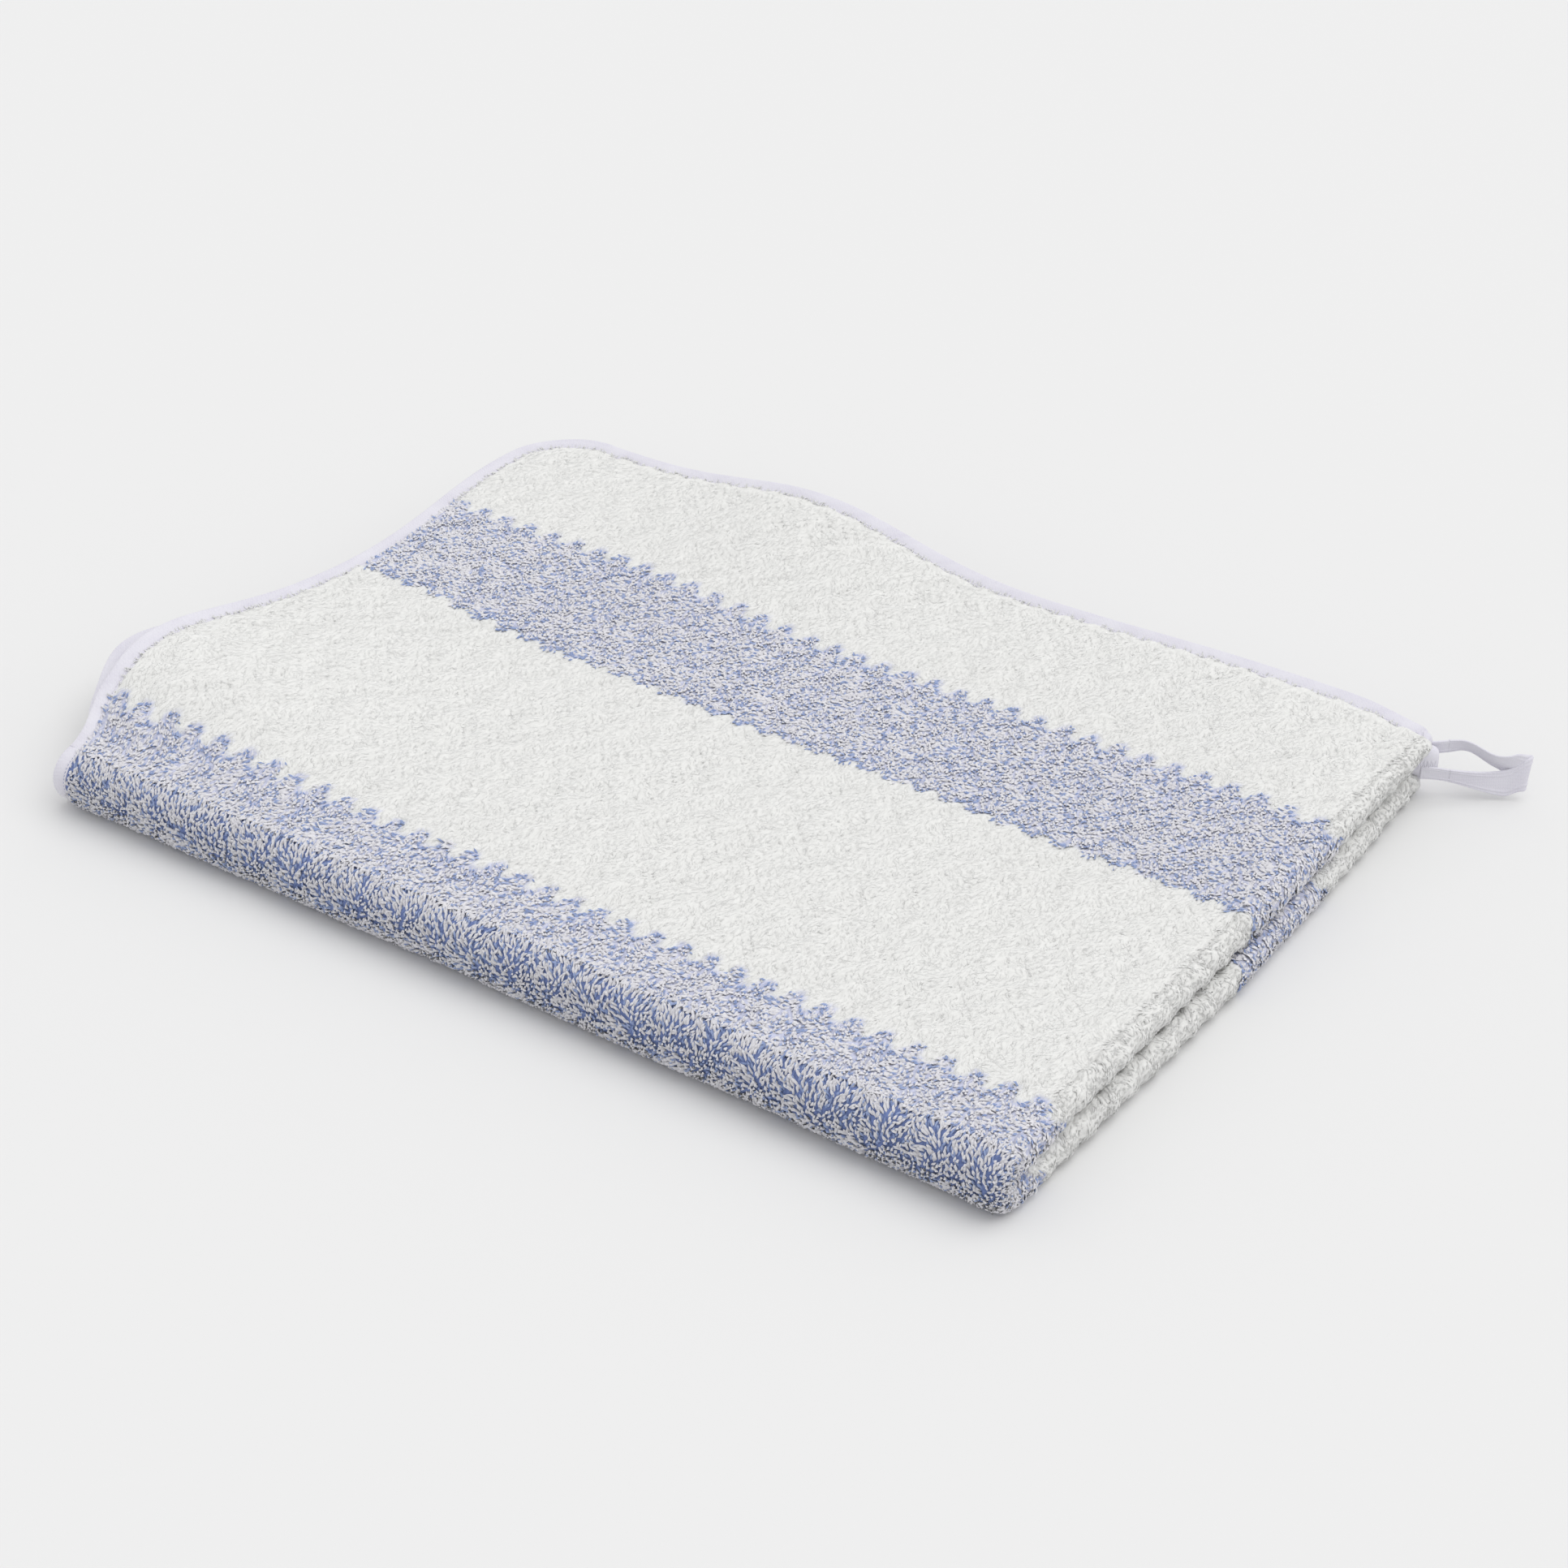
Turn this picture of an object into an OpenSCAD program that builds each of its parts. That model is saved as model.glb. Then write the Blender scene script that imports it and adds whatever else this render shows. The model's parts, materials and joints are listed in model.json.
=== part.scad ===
// Hooded baby towel, folded in half twice, with bound edges and a hanging loop.
// +X runs along the stripes towards the side folds, +Y runs from the front fold to the open rear
// edges, and +Z is up. The origin is the centre of the stack on the surface it rests on.

/* [Folded towel] */
// Length of the folded stack, along the stripes
fold_l = 500; // [420:10:560]
// Depth of the folded stack, from the front fold to the open edges
fold_d = 366; // [300:2:420]
// Radius of the towel's rounded corners
corner_r = 35; // [25:5:60]

/* [Cloth] */
// Thickness of the cloth with its pile
cloth_t = 6; // [5:0.5:7]
// Air between two layers
layer_gap = 1; // [0.8:0.1:1.5]

/* [Edge tape] */
// Width of the tape on each face of the cloth
tape_w = 9; // [7:0.5:12]
// Thickness of the tape
tape_t = 1.2; // [0.8:0.1:1.4]
// Thickness of the cloth's trimmed edge inside the tape
hem_t = 2; // [1.6:0.1:2.4]
// Distance of the seam from the towel's edge
seam_inset = 7.4; // [5:0.2:8]

/* [Hood] */
// Leg of the triangular hood, along both edges of the towel
hood_leg = 190; // [150:5:230]
// Thickness of the hood's cloth
hood_t = 4.4; // [3.5:0.1:4.6]

/* [Drape] */
// Rise of the upper layers over the hood
hood_rise = 7; // [6.5:0.5:10]
// Height of the wave at the rear edge
rear_wave = 14; // [0:1:22]
// Height of the wave at the left edge
left_wave = 16; // [0:1:22]
// How far the waves push the left edges outwards
left_shift = 15; // [0:1:18]
// How far the second layer shows behind the top one
rear_shift = 13; // [0:1:16]

/* [Hanging loop] */
// Length of the loop beyond its root
loop_l = 40; // [30:2:60]
// Width of the loop's tape
loop_w = 12; // [8:1:14]
// Clear width of the eye
loop_eye = 10; // [6:1:16]
// Angle of the loop from +X towards +Y
loop_angle = 33; // [0:1:60]
// Angle at which the loop hangs down from its root
loop_droop = 9; // [0:1:12]

/* [Care label] */
// Length of the label
label_l = 45; // [25:5:60]
// Width of the label
label_w = 22; // [15:1:30]

/* [Hidden] */
$fn = 64;

terry_white = [0.93, 0.94, 0.93];
terry_blue = [0.60, 0.66, 0.80];
tape_color = [0.91, 0.90, 0.96];
thread_color = [0.86, 0.85, 0.93];

// The four layers, counted from the bottom, and the centre lines of the folds
pitch = cloth_t + layer_gap;
stack_t = 4 * cloth_t + 3 * layer_gap;
front_z = stack_t / 2;
front_y = stack_t / 2;
side_r = cloth_t + layer_gap / 2;
side_x = fold_l - side_r;
slit = 0.2;                             // room between the two halves along the front fold
panel_y = front_y + slit;               // where the flat layers start

// The tape's section: the hem is the trimmed cloth edge inside it
binding_t = hem_t + 2 * tape_t + 0.2;
hem_play = 0.1;
hem_inset = tape_t + 0.2;
panel_inset = tape_w + 0.3;
thread_w = 0.8;
thread_t = 0.35;
thread_play = 0.15;                     // keeps the thread off the tape where the tape is curved

// Sampling of the draped layers
step = 22;
left_steps = ceil((fold_d - corner_r - panel_y) / step);
rear_steps = ceil((side_x - corner_r) / step);
arc_steps = 5;
corner_y = fold_d - corner_r;

function mid_z(layer) = layer * pitch + cloth_t / 2;
function ease(from, to, v) =
  let (t = min(1, max(0, (v - from) / (to - from)))) t * t * (3 - 2 * t);
function wave(v, centre, spread) = exp(-pow((v - centre) / spread, 2));

// The drape's bumps, as centre and spread, seen from above
rear_bump = [[165, fold_d + 20], [58, 90]];
left_bump = [[-10, 70], [110, 62]];
front_bulge = [[0, 85], [75, 60]];
corner_bulge = [[0, fold_d - 55], [75, 55]];
peek_bulge = [[215, fold_d], [75, 75]];
corner_share = 0.7;                     // the bulge near the corner, as a share of the front one
inner_share = [0.5, 1.35];              // the second layer's lift and push, as a share of the top one's

// Distance of a point beyond the hood's slanted edge, and the ramp where the cloth comes down there
function past_hood(x, y) = (x + fold_d - y - hood_leg) / sqrt(2);
ramp = [12, 80];

// Share of the drape that is free to rise: none at the front fold and the side folds
front_fade = 50;
side_fade = [110, 25];
function free_share(x, y) =
  ease(panel_y, panel_y + front_fade, y) * (1 - ease(side_x - side_fade[0], side_x - side_fade[1], x));

function bump(shape, x, y) =
  wave(x, shape[0][0], shape[1][0]) * wave(y, shape[0][1], shape[1][1]);
function hood_lift(x, y) = hood_rise * (1 - ease(ramp[0], ramp[1], past_hood(x, y)));
function wave_lift(x, y) = rear_wave * bump(rear_bump, x, y) + left_wave * bump(left_bump, x, y);

// Rise of a layer above its flat height: the top layer takes all of the waves, the next one a share
function lift(layer, x, y) =
  free_share(x, y) * (hood_lift(x, y) + (layer == 3 ? 1 : inner_share[0]) * wave_lift(x, y));

// Outward push of the upper layers' left and rear edges
function push_left(layer, x, y) =
  left_shift * (layer == 3 ? 1 : inner_share[1])
  * (bump(front_bulge, x, y) + corner_share * bump(corner_bulge, x, y));
function push_rear(layer, x, y) = layer == 2 ? rear_shift * bump(peek_bulge, x, y) : 0;

// A point of a draped layer, dz above the middle of the cloth
function draped(layer, p, dz) = [
  p[0] - push_left(layer, p[0], p[1]),
  p[1] + push_rear(layer, p[0], p[1]),
  mid_z(layer) + lift(layer, p[0], p[1]) + dz
];

// The open edge seen from above, from the front fold round the corner to the side fold
function left_y(i) = panel_y + (corner_y - panel_y) * i / left_steps;
function arc_point(i, inset) =
  let (a = 90 * i / arc_steps, r = corner_r - inset)
  [corner_r - r * cos(a), corner_y + r * sin(a)];
function rim(inset) = concat(
  [for (i = [0:left_steps - 1]) [inset, left_y(i)]],
  [for (i = [0:arc_steps - 1]) arc_point(i, inset)],
  [for (i = [0:rear_steps]) [corner_r + (side_x - corner_r) * i / rear_steps, fold_d - inset]]
);

// Left ends of the rows that a draped panel is made of
function row_starts(inset) = concat(
  [for (i = [0:left_steps - 1]) [inset, left_y(i)]],
  [for (i = [0:arc_steps]) arc_point(i, inset)]
);

// Places a shape that is drawn with its front left corner at zero
module placed() {
  translate([-fold_l / 2, -fold_d / 2, 0]) children();
}

// A solid through rows of points: each row goes out along the top and back along the bottom
module loft(rows) {
  n = len(rows[0]);
  last = len(rows) - 1;
  function at(j, i) = j * n + i % n;
  polyhedron(
    points = [for (row = rows) each row],
    faces = concat(
      [for (j = [0:last - 1], i = [0:n - 1]) [at(j, i), at(j + 1, i), at(j + 1, i + 1)]],
      [for (j = [0:last - 1], i = [0:n - 1]) [at(j, i), at(j + 1, i + 1), at(j, i + 1)]],
      [for (i = [0:n / 2 - 2]) each [
        [at(0, i), at(0, i + 1), at(0, n - 2 - i)], [at(0, i), at(0, n - 2 - i), at(0, n - 1 - i)],
        [at(last, i), at(last, n - 2 - i), at(last, i + 1)],
        [at(last, i), at(last, n - 1 - i), at(last, n - 2 - i)]
      ]]
    )
  );
}

// A strip of a draped layer along its open edge, between two distances from the edge
module draped_strip(layer, from_inset, to_inset, low, high) {
  outer = rim(from_inset);
  inner = rim(to_inset);
  loft([for (i = [0:len(outer) - 1]) [
    draped(layer, outer[i], high), draped(layer, inner[i], high),
    draped(layer, inner[i], low), draped(layer, outer[i], low)
  ]]);
}

module draped_panel(layer) {
  half = cloth_t / 2;
  loft([for (start = row_starts(panel_inset))
    let (row = [for (i = [0:rear_steps]) [
      start[0] + (side_x - start[0]) * i / rear_steps, start[1]
    ]])
    concat(
      [for (i = [0:rear_steps]) draped(layer, row[i], half)],
      [for (i = [0:rear_steps]) draped(layer, row[rear_steps - i], -half)]
    )
  ]);
  draped_strip(layer, hem_inset, panel_inset + 0.3, -hem_t / 2, hem_t / 2);
}

module draped_binding(layer) {
  half = binding_t / 2;
  slot = hem_t / 2 + hem_play;
  difference() {
    draped_strip(layer, 0, tape_w, -half, half);
    draped_strip(layer, tape_t, tape_w + 1, -slot, slot);
  }
}

// The seam shows as a raised thread on the cloth's pile side, which is side +1 or -1
module draped_stitching(layer, side) {
  face = side * (binding_t / 2 + thread_play);
  ends = [face, face + side * thread_t];
  draped_strip(layer, seam_inset, seam_inset + thread_w, min(ends), max(ends));
}

// The same pieces for the two flat layers, with true arcs
module flat_outline(inset) {
  r = corner_r - inset;
  translate([inset, panel_y]) square([side_x - inset, corner_y - panel_y]);
  translate([corner_r, corner_y]) square([side_x - corner_r, r]);
  translate([corner_r, corner_y]) circle(r);
}

module flat_strip(layer, from_inset, to_inset, low, high) {
  translate([0, 0, mid_z(layer) + low])
    linear_extrude(high - low)
      difference() {
        flat_outline(from_inset);
        flat_outline(to_inset);
        translate([to_inset, 0]) square([fold_l, corner_y]);
        translate([corner_r, 0]) square([fold_l, fold_d - to_inset]);
      }
}

module flat_panel(layer) {
  translate([0, 0, mid_z(layer) - cloth_t / 2])
    linear_extrude(cloth_t) flat_outline(panel_inset);
  flat_strip(layer, hem_inset, panel_inset + 0.3, -hem_t / 2, hem_t / 2);
}

module flat_binding(layer) {
  half = binding_t / 2;
  slot = hem_t / 2 + hem_play;
  difference() {
    flat_strip(layer, 0, tape_w, -half, half);
    flat_strip(layer, tape_t, tape_w + 1, -slot, slot);
    translate([tape_t, 0, mid_z(layer) - slot]) cube([tape_w, panel_y + 1, 2 * slot]);
    translate([side_x - 1, fold_d - tape_w - 1, mid_z(layer) - slot])
      cube([2, tape_w + 1 - tape_t, 2 * slot]);
  }
}

module flat_stitching(layer, side) {
  face = side * binding_t / 2;
  ends = [face, face + side * thread_t];
  flat_strip(layer, seam_inset, seam_inset + thread_w, min(ends), max(ends));
}

// Half of a ring that bends a layer round a fold, lying on the +X side of its centre
module half_ring(mid_r, t) {
  intersection() {
    difference() {
      circle(mid_r + t / 2);
      circle(mid_r - t / 2);
    }
    translate([0, -mid_r - t]) square([mid_r + t, 2 * (mid_r + t)]);
  }
}

// A half ring drawn out along +Y, round the side fold's centre line
module side_bend(layer, y_from, y_to, t) {
  translate([side_x, y_to, (mid_z(layer) + mid_z(layer + 1)) / 2])
    rotate([90, 0, 0])
      linear_extrude(y_to - y_from) half_ring(pitch / 2, t);
}

module side_fold(layer) {
  side_bend(layer, panel_y, fold_d - panel_inset, cloth_t);
  side_bend(layer, fold_d - panel_inset - 1, fold_d - hem_inset, hem_t);
}

module side_turn_binding(layer) {
  difference() {
    side_bend(layer, fold_d - tape_w, fold_d, binding_t);
    side_bend(layer, fold_d - tape_w - 1, fold_d - tape_t, hem_t + 2 * hem_play);
  }
}

// A half ring drawn out along +X, round the front fold's centre line
module front_bend(mid_r, x_from, x_to, t) {
  translate([x_from, front_y, front_z])
    rotate([90, 0, 90])
      linear_extrude(x_to - x_from) mirror([1, 0]) half_ring(mid_r, t);
}

outer_bend_r = front_z - cloth_t / 2;
inner_bend_r = pitch / 2;

module front_fold(mid_r) {
  front_bend(mid_r, panel_inset, side_x, cloth_t);
  front_bend(mid_r, hem_inset, panel_inset + 1, hem_t);
}

module front_turn_binding(mid_r) {
  difference() {
    front_bend(mid_r, 0, tape_w, binding_t);
    front_bend(mid_r, tape_t, tape_w + 1, hem_t + 2 * hem_play);
  }
}

// The hood lies on the lower inner layer, in its rear left corner
hood_z = 2 * pitch - layer_gap + 0.4;

// The corner of the towel outline, cut off by a slanted line a distance inside the hood's edge
module hood_outline(edge_inset, slant_inset) {
  leg = hood_leg - slant_inset * sqrt(2);
  intersection() {
    flat_outline(edge_inset);
    polygon([[0, fold_d], [0, fold_d - leg], [leg, fold_d]]);
  }
}

module upright(from_z, to_z) {
  translate([0, 0, from_z]) linear_extrude(to_z - from_z) children();
}

// The loop's own frame: its hinge line, a little way off the side fold, and +X along the loop
root_x = fold_l + 8.6;
root_y = fold_d + 1;
root_z = 3 * pitch - layer_gap / 2;
tab_t = 1.2;
tab_reach = 3;                          // how far the root tab runs in between the two legs
leg_gap = tab_t + 0.3;

module at_loop() {
  translate([root_x, root_y, root_z]) rotate([0, loop_droop, loop_angle]) children();
}

// An eye shape between two points on the loop's axis, drawn as two arcs of equal radius
module eye(from, to, half_w) {
  half_l = (to - from) / 2;
  r = (half_l * half_l + half_w * half_w) / (2 * half_w);
  translate([from + half_l, 0])
    intersection() {
      translate([0, half_w - r]) circle(r, $fn = 180);
      translate([0, r - half_w]) circle(r, $fn = 180);
    }
}

// The two legs of tape, which meet in a crease at the tip and straddle the tab at the root
module loop_plan() {
  grow = leg_gap / 2;
  crease = 5;
  difference() {
    union() {
      eye(0, loop_l, loop_eye / 2 + tape_t);
      translate([0, -grow - tape_t]) square([4, 2 * (grow + tape_t)]);
      translate([loop_l - crease, -tape_t]) square([crease, 2 * tape_t]);
    }
    eye(1, loop_l - crease + 1, loop_eye / 2);
    translate([-1, -grow]) square([6, 2 * grow]);
  }
}

module lower_outer_panel() { color(terry_white) placed() flat_panel(0); }
module lower_inner_panel() { color(terry_white) placed() flat_panel(1); }
module lower_side_fold() { color(terry_white) placed() side_fold(0); }
module lower_outer_binding() { color(tape_color) placed() flat_binding(0); }
module lower_inner_binding() { color(tape_color) placed() flat_binding(1); }
module lower_side_turn_binding() { color(tape_color) placed() side_turn_binding(0); }
module lower_outer_stitching() { color(thread_color) placed() flat_stitching(0, -1); }
module lower_inner_stitching() { color(thread_color) placed() flat_stitching(1, 1); }

module hood_panel() {
  hem_z = hood_z + (hood_t - hem_t) / 2;
  color(terry_white) placed() {
    upright(hood_z, hood_z + hood_t) hood_outline(1, panel_inset);
    upright(hem_z, hem_z + hem_t) hood_outline(1, hem_inset);
  }
}

module hood_edge_binding() {
  t = hood_t + 0.6;
  hem_z = hood_z + (hood_t - hem_t) / 2;
  color(tape_color) placed() difference() {
    upright(hood_z - 0.3, hood_z - 0.3 + t)
      difference() {
        hood_outline(1, 0);
        hood_outline(0, tape_w);
      }
    upright(hem_z - hem_play, hem_z + hem_t + hem_play) hood_outline(0, tape_t);
  }
}

module hood_stitching() {
  color(thread_color) placed() upright(hood_z + hood_t, hood_z + hood_t + thread_t)
    difference() {
      hood_outline(seam_inset, panel_inset + 1);
      hood_outline(seam_inset + thread_w, panel_inset);
    }
}

// The blank label hangs between the two lower layers, its end sewn to the lower binding
module care_label() {
  label_z = cloth_t + 0.2;
  root_low = mid_z(0) + binding_t / 2;
  color("white") placed() {
    translate([2, 70, label_z]) cube([label_l, label_w, 0.5]);
    translate([2, 70, root_low]) cube([5, label_w, label_z + 0.5 - root_low]);
  }
}

module front_fold_outer() { color(terry_blue) placed() front_fold(outer_bend_r); }
module front_fold_inner() { color(terry_blue) placed() front_fold(inner_bend_r); }

// The place where the side folds run round the front fold
module front_corner_fold() {
  color(terry_blue) placed()
    translate([side_x, front_y, front_z])
      rotate([0, 90, 0]) rotate([0, 0, 180])
        rotate_extrude(angle = 180)
          translate([pitch, 0])
            intersection() {
              difference() {
                circle(side_r);
                circle(layer_gap / 2);
              }
              translate([-side_r, 0]) square([2 * side_r, side_r]);
            }
}

module front_outer_turn_binding() { color(tape_color) placed() front_turn_binding(outer_bend_r); }
module front_inner_turn_binding() { color(tape_color) placed() front_turn_binding(inner_bend_r); }

module upper_outer_panel() { color(terry_white) placed() draped_panel(3); }
module upper_inner_panel() { color(terry_white) placed() draped_panel(2); }
module upper_side_fold() { color(terry_white) placed() side_fold(2); }
module upper_outer_binding() { color(tape_color) placed() draped_binding(3); }
module upper_inner_binding() { color(tape_color) placed() draped_binding(2); }
module upper_side_turn_binding() { color(tape_color) placed() side_turn_binding(2); }
module upper_outer_stitching() { color(thread_color) placed() draped_stitching(3, 1); }
module upper_inner_stitching() { color(thread_color) placed() draped_stitching(2, -1); }

// The end of the loop's tape, sewn round the binding where it turns at the side fold
module loop_root_tab() {
  turn_r = pitch / 2 + binding_t / 2;
  tail = 20;
  color(tape_color) placed() difference() {
    at_loop() translate([-tail, -tab_t / 2, -loop_w / 2]) cube([tail + tab_reach, tab_t, loop_w]);
    translate([side_x, fold_d + tail, root_z]) rotate([90, 0, 0]) cylinder(r = turn_r, h = 2 * tail);
    translate([side_x, fold_d - tape_w, root_z]) rotate([90, 0, 0]) cylinder(r = side_r, h = tail);
    translate([side_x - tail, 0, root_z - loop_w]) cube([tail, fold_d + tail, 2 * loop_w]);
  }
}

// Rows of close stitches across the tab, on both of its faces
module loop_bartack() {
  rows = 4;
  row_pitch = 0.8;
  row_w = 0.5;
  row_l = loop_w - 3;
  color(thread_color) placed() at_loop()
    for (side = [-1, 1], i = [0:rows - 1])
      translate([-9.6 + i * row_pitch, side * (tab_t + thread_t) / 2, 0])
        cube([row_w, thread_t, row_l], center = true);
}

module hanging_loop() {
  color(tape_color) placed() at_loop()
    translate([0, 0, -loop_w / 2]) linear_extrude(loop_w) loop_plan();
}

lower_outer_panel();
lower_inner_panel();
lower_side_fold();
lower_outer_binding();
lower_inner_binding();
lower_side_turn_binding();
lower_outer_stitching();
lower_inner_stitching();
hood_panel();
hood_edge_binding();
hood_stitching();
care_label();
front_fold_outer();
front_fold_inner();
front_corner_fold();
front_outer_turn_binding();
front_inner_turn_binding();
upper_outer_panel();
upper_inner_panel();
upper_side_fold();
upper_outer_binding();
upper_inner_binding();
upper_side_turn_binding();
upper_outer_stitching();
upper_inner_stitching();
loop_root_tab();
loop_bartack();
hanging_loop();
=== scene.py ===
import json
import math

import bpy
import numpy as np
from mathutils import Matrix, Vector
from mathutils.bvhtree import BVHTree


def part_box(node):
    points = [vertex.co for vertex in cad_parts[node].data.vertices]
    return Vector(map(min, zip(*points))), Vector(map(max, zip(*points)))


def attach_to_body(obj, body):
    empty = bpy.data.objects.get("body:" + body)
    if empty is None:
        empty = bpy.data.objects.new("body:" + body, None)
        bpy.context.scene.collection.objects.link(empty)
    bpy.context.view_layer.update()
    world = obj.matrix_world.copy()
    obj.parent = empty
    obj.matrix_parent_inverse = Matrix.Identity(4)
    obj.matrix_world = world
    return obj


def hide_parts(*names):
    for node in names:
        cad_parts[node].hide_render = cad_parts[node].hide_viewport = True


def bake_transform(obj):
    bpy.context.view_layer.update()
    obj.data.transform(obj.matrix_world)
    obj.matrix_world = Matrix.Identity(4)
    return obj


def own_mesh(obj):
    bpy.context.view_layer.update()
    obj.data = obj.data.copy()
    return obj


# A plush baby towel, folded in half twice. Each cloth layer is a surface with two coordinates, a
# along the stripes and b across them, and a height h towards the pile. Ground cloth, pile, edge tape
# and stitches are all drawn in those coordinates, and the surface puts them where the CAD is.

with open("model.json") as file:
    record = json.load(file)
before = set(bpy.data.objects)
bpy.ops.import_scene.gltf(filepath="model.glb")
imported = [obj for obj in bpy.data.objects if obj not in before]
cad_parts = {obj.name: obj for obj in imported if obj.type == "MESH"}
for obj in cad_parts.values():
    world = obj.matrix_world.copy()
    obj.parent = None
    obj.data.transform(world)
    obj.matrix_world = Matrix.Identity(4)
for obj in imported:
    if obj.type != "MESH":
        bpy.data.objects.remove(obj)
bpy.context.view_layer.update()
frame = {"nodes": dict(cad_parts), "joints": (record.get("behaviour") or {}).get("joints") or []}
MM = 0.001
TAU = 2 * math.pi

# ---- measures taken from the frame


def mesh_points(node):
    return np.array([v.co for v in frame["nodes"][node].data.vertices])


flat_low, flat_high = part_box("lower_outer_panel")
edge_low, edge_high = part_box("lower_outer_binding")
inner_low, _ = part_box("lower_inner_panel")
bend_low, bend_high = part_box("front_fold_outer")
turn_low, turn_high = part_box("front_outer_turn_binding")

cloth_t = flat_high.z - flat_low.z
pitch = inner_low.z - flat_low.z
left_x, front_y, rear_y = edge_low.x, bend_low.y, edge_high.y
side_x, panel_y = flat_high.x, flat_low.y
tape_w = turn_high.x - turn_low.x
hinge_y = bend_high.y
hinge_z = (bend_low.z + bend_high.z) / 2
outer_bend_r = hinge_z - cloth_t / 2
small_bend_r = pitch / 2

edge_points = mesh_points("lower_outer_binding")
left_side = edge_points[edge_points[:, 0] < left_x + 0.01 * MM]
corner_r = rear_y - left_side[:, 1].max()
corner_x, corner_y = left_x + corner_r, rear_y - corner_r
length = side_x - left_x
depth = rear_y - front_y

# ---- sizes of the towel's own detail

BACK_H = -3.0 * MM              # smooth back of the cloth, below its middle
GROUND_H = 1.3 * MM             # top of the bare ground cloth
PLAIN_H = 3.0 * MM              # top of the dense roots of its pile, in the white
STRIPED_H = 2.8 * MM            # and in the blue stripes
RIDGE_PITCH = 11 * MM           # the knit's ridges run at 45 degrees to the stripes
RIDGE_H = 0.50 * MM
DENT_H = 1.1 * MM               # depth of the dents across the ridges
HEM_H = 0.95 * MM               # half of the trimmed edge inside the tape
HEM_REACH = 0.3 * MM            # how far from the tape the cloth grows to its full thickness
CLOTH_IN_TAPE = 1.5 * MM        # how far the cloth reaches into the tape
SEAM_INSET = 7.4 * MM           # from the tape's outer edge to its seam
STRIPE_W = 75.5 * MM
WHITE_W = 153.8 * MM
FIRST_STRIPE_END = {"upper_half": 43.3 * MM, "lower_half": 26.6 * MM}   # from the front fold
TOOTH_PITCH = 14 * MM
TOOTH_H = {"front": 3.5 * MM, "rear": 8.0 * MM}     # of a stripe's two edges, from tip to root
PUSH_REACH = 75 * MM            # how far inwards an edge that is pushed out takes the cloth along
LOBE_SHARE = 0.4                # the part of the left edge, from the front, that bulges out as a lobe
LOBE_LIFT = 0.15                # how much a lobe's edge rises for each mm that it bulges out
LIFT_REACH = 14 * MM            # and how far inwards it does
CURL_FADE = 30 * MM             # the edge curls up less and less over this distance from a fold
SPLAY_R = 2 * MM                # folds measure their length this far outside the middle of the cloth
SOFT_CORNER_R = 9 * MM          # the rear right corner, seen from above
FRONT_SWELL = 7.5 * MM          # how far the front swells forwards at its left end
FRONT_DIP = 1.5 * MM            # and how much less in its middle
FRONT_TUCK = 5 * MM             # how far its left end is drawn in
SIDE_BOW = 4.5 * MM             # how far the lower side fold bows out in its middle
SIDE_PUFF = 5 * MM              # and the upper one at its rear end
REAR_LIFT = 2.5 * MM            # how far the upper layers' rear edge lifts at its left
CORNER_LIFT = 6.5 * MM          # and how much more at its right
UNEVEN = 0.8 * MM               # size of the small bumps of the folded edges
TOP_UNEVEN = 0.7 * MM           # and of the layers

# ---- small helpers


def ease(low, high, v):
    t = np.clip((v - low) / (high - low), 0, 1)
    return t * t * (3 - 2 * t)


def ripple(a, b, size, seed):
    """A smooth, repeatable unevenness from -1 to 1, with swells of about the given size."""
    rng = np.random.default_rng(seed)
    total = 0
    waves = 6
    for _ in range(waves):
        direction = rng.uniform(0, TAU)
        pace = TAU / (size * rng.uniform(0.7, 1.6))
        phase = rng.uniform(0, TAU)
        total = total + np.sin((a * math.cos(direction) + b * math.sin(direction)) * pace + phase)
    return total / waves


def blur(grid, cells):
    """A Gaussian blur of a two-way grid that keeps the values at its borders."""
    reach = int(3 * cells)
    kernel = np.exp(-0.5 * (np.arange(-reach, reach + 1) / cells) ** 2)
    kernel /= kernel.sum()
    for axis in (0, 1):
        padding = [(0, 0), (0, 0)]
        padding[axis] = (reach, reach)
        padded = np.pad(grid, padding, mode="reflect", reflect_type="odd")
        grid = np.apply_along_axis(lambda line: np.convolve(line, kernel, "valid"), axis, padded)
    return grid


def round_corner(x, y):
    """Draws the square rear right corner of the stack in to a round one, seen from above."""
    past_x = np.clip(x - (side_x + small_bend_r - SOFT_CORNER_R), 0, None)
    past_y = np.clip(y - (rear_y - SOFT_CORNER_R), 0, None)
    share = np.maximum(past_x, past_y) / np.maximum(np.hypot(past_x, past_y), MM / 100)
    share = np.where((past_x > 0) & (past_y > 0), share, 1)
    return x - past_x * (1 - share), y - past_y * (1 - share)


def shift_right(x, y, z):
    """The side folds bulge to the right, and the front's left end is drawn in."""
    across = np.clip((y - front_y) / depth, 0, 1)
    low_half = 1 - ease(hinge_z - 2 * MM, hinge_z + 2 * MM, z)
    bow = SIDE_BOW * low_half * np.sin(math.pi * across)
    puff = SIDE_PUFF * ease(0.7, 1, across) * ease(hinge_z + 3 * MM, hinge_z + 12 * MM, z)
    bumps = UNEVEN * ripple(y, z * 3, 70 * MM, 5)
    tuck = FRONT_TUCK * (1 - ease(0, 40 * MM, y - front_y)) * (1 - ease(0, 60 * MM, x - left_x))
    return tuck + ease(side_x - 90 * MM, side_x, x) * (bow + puff + bumps)


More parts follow.
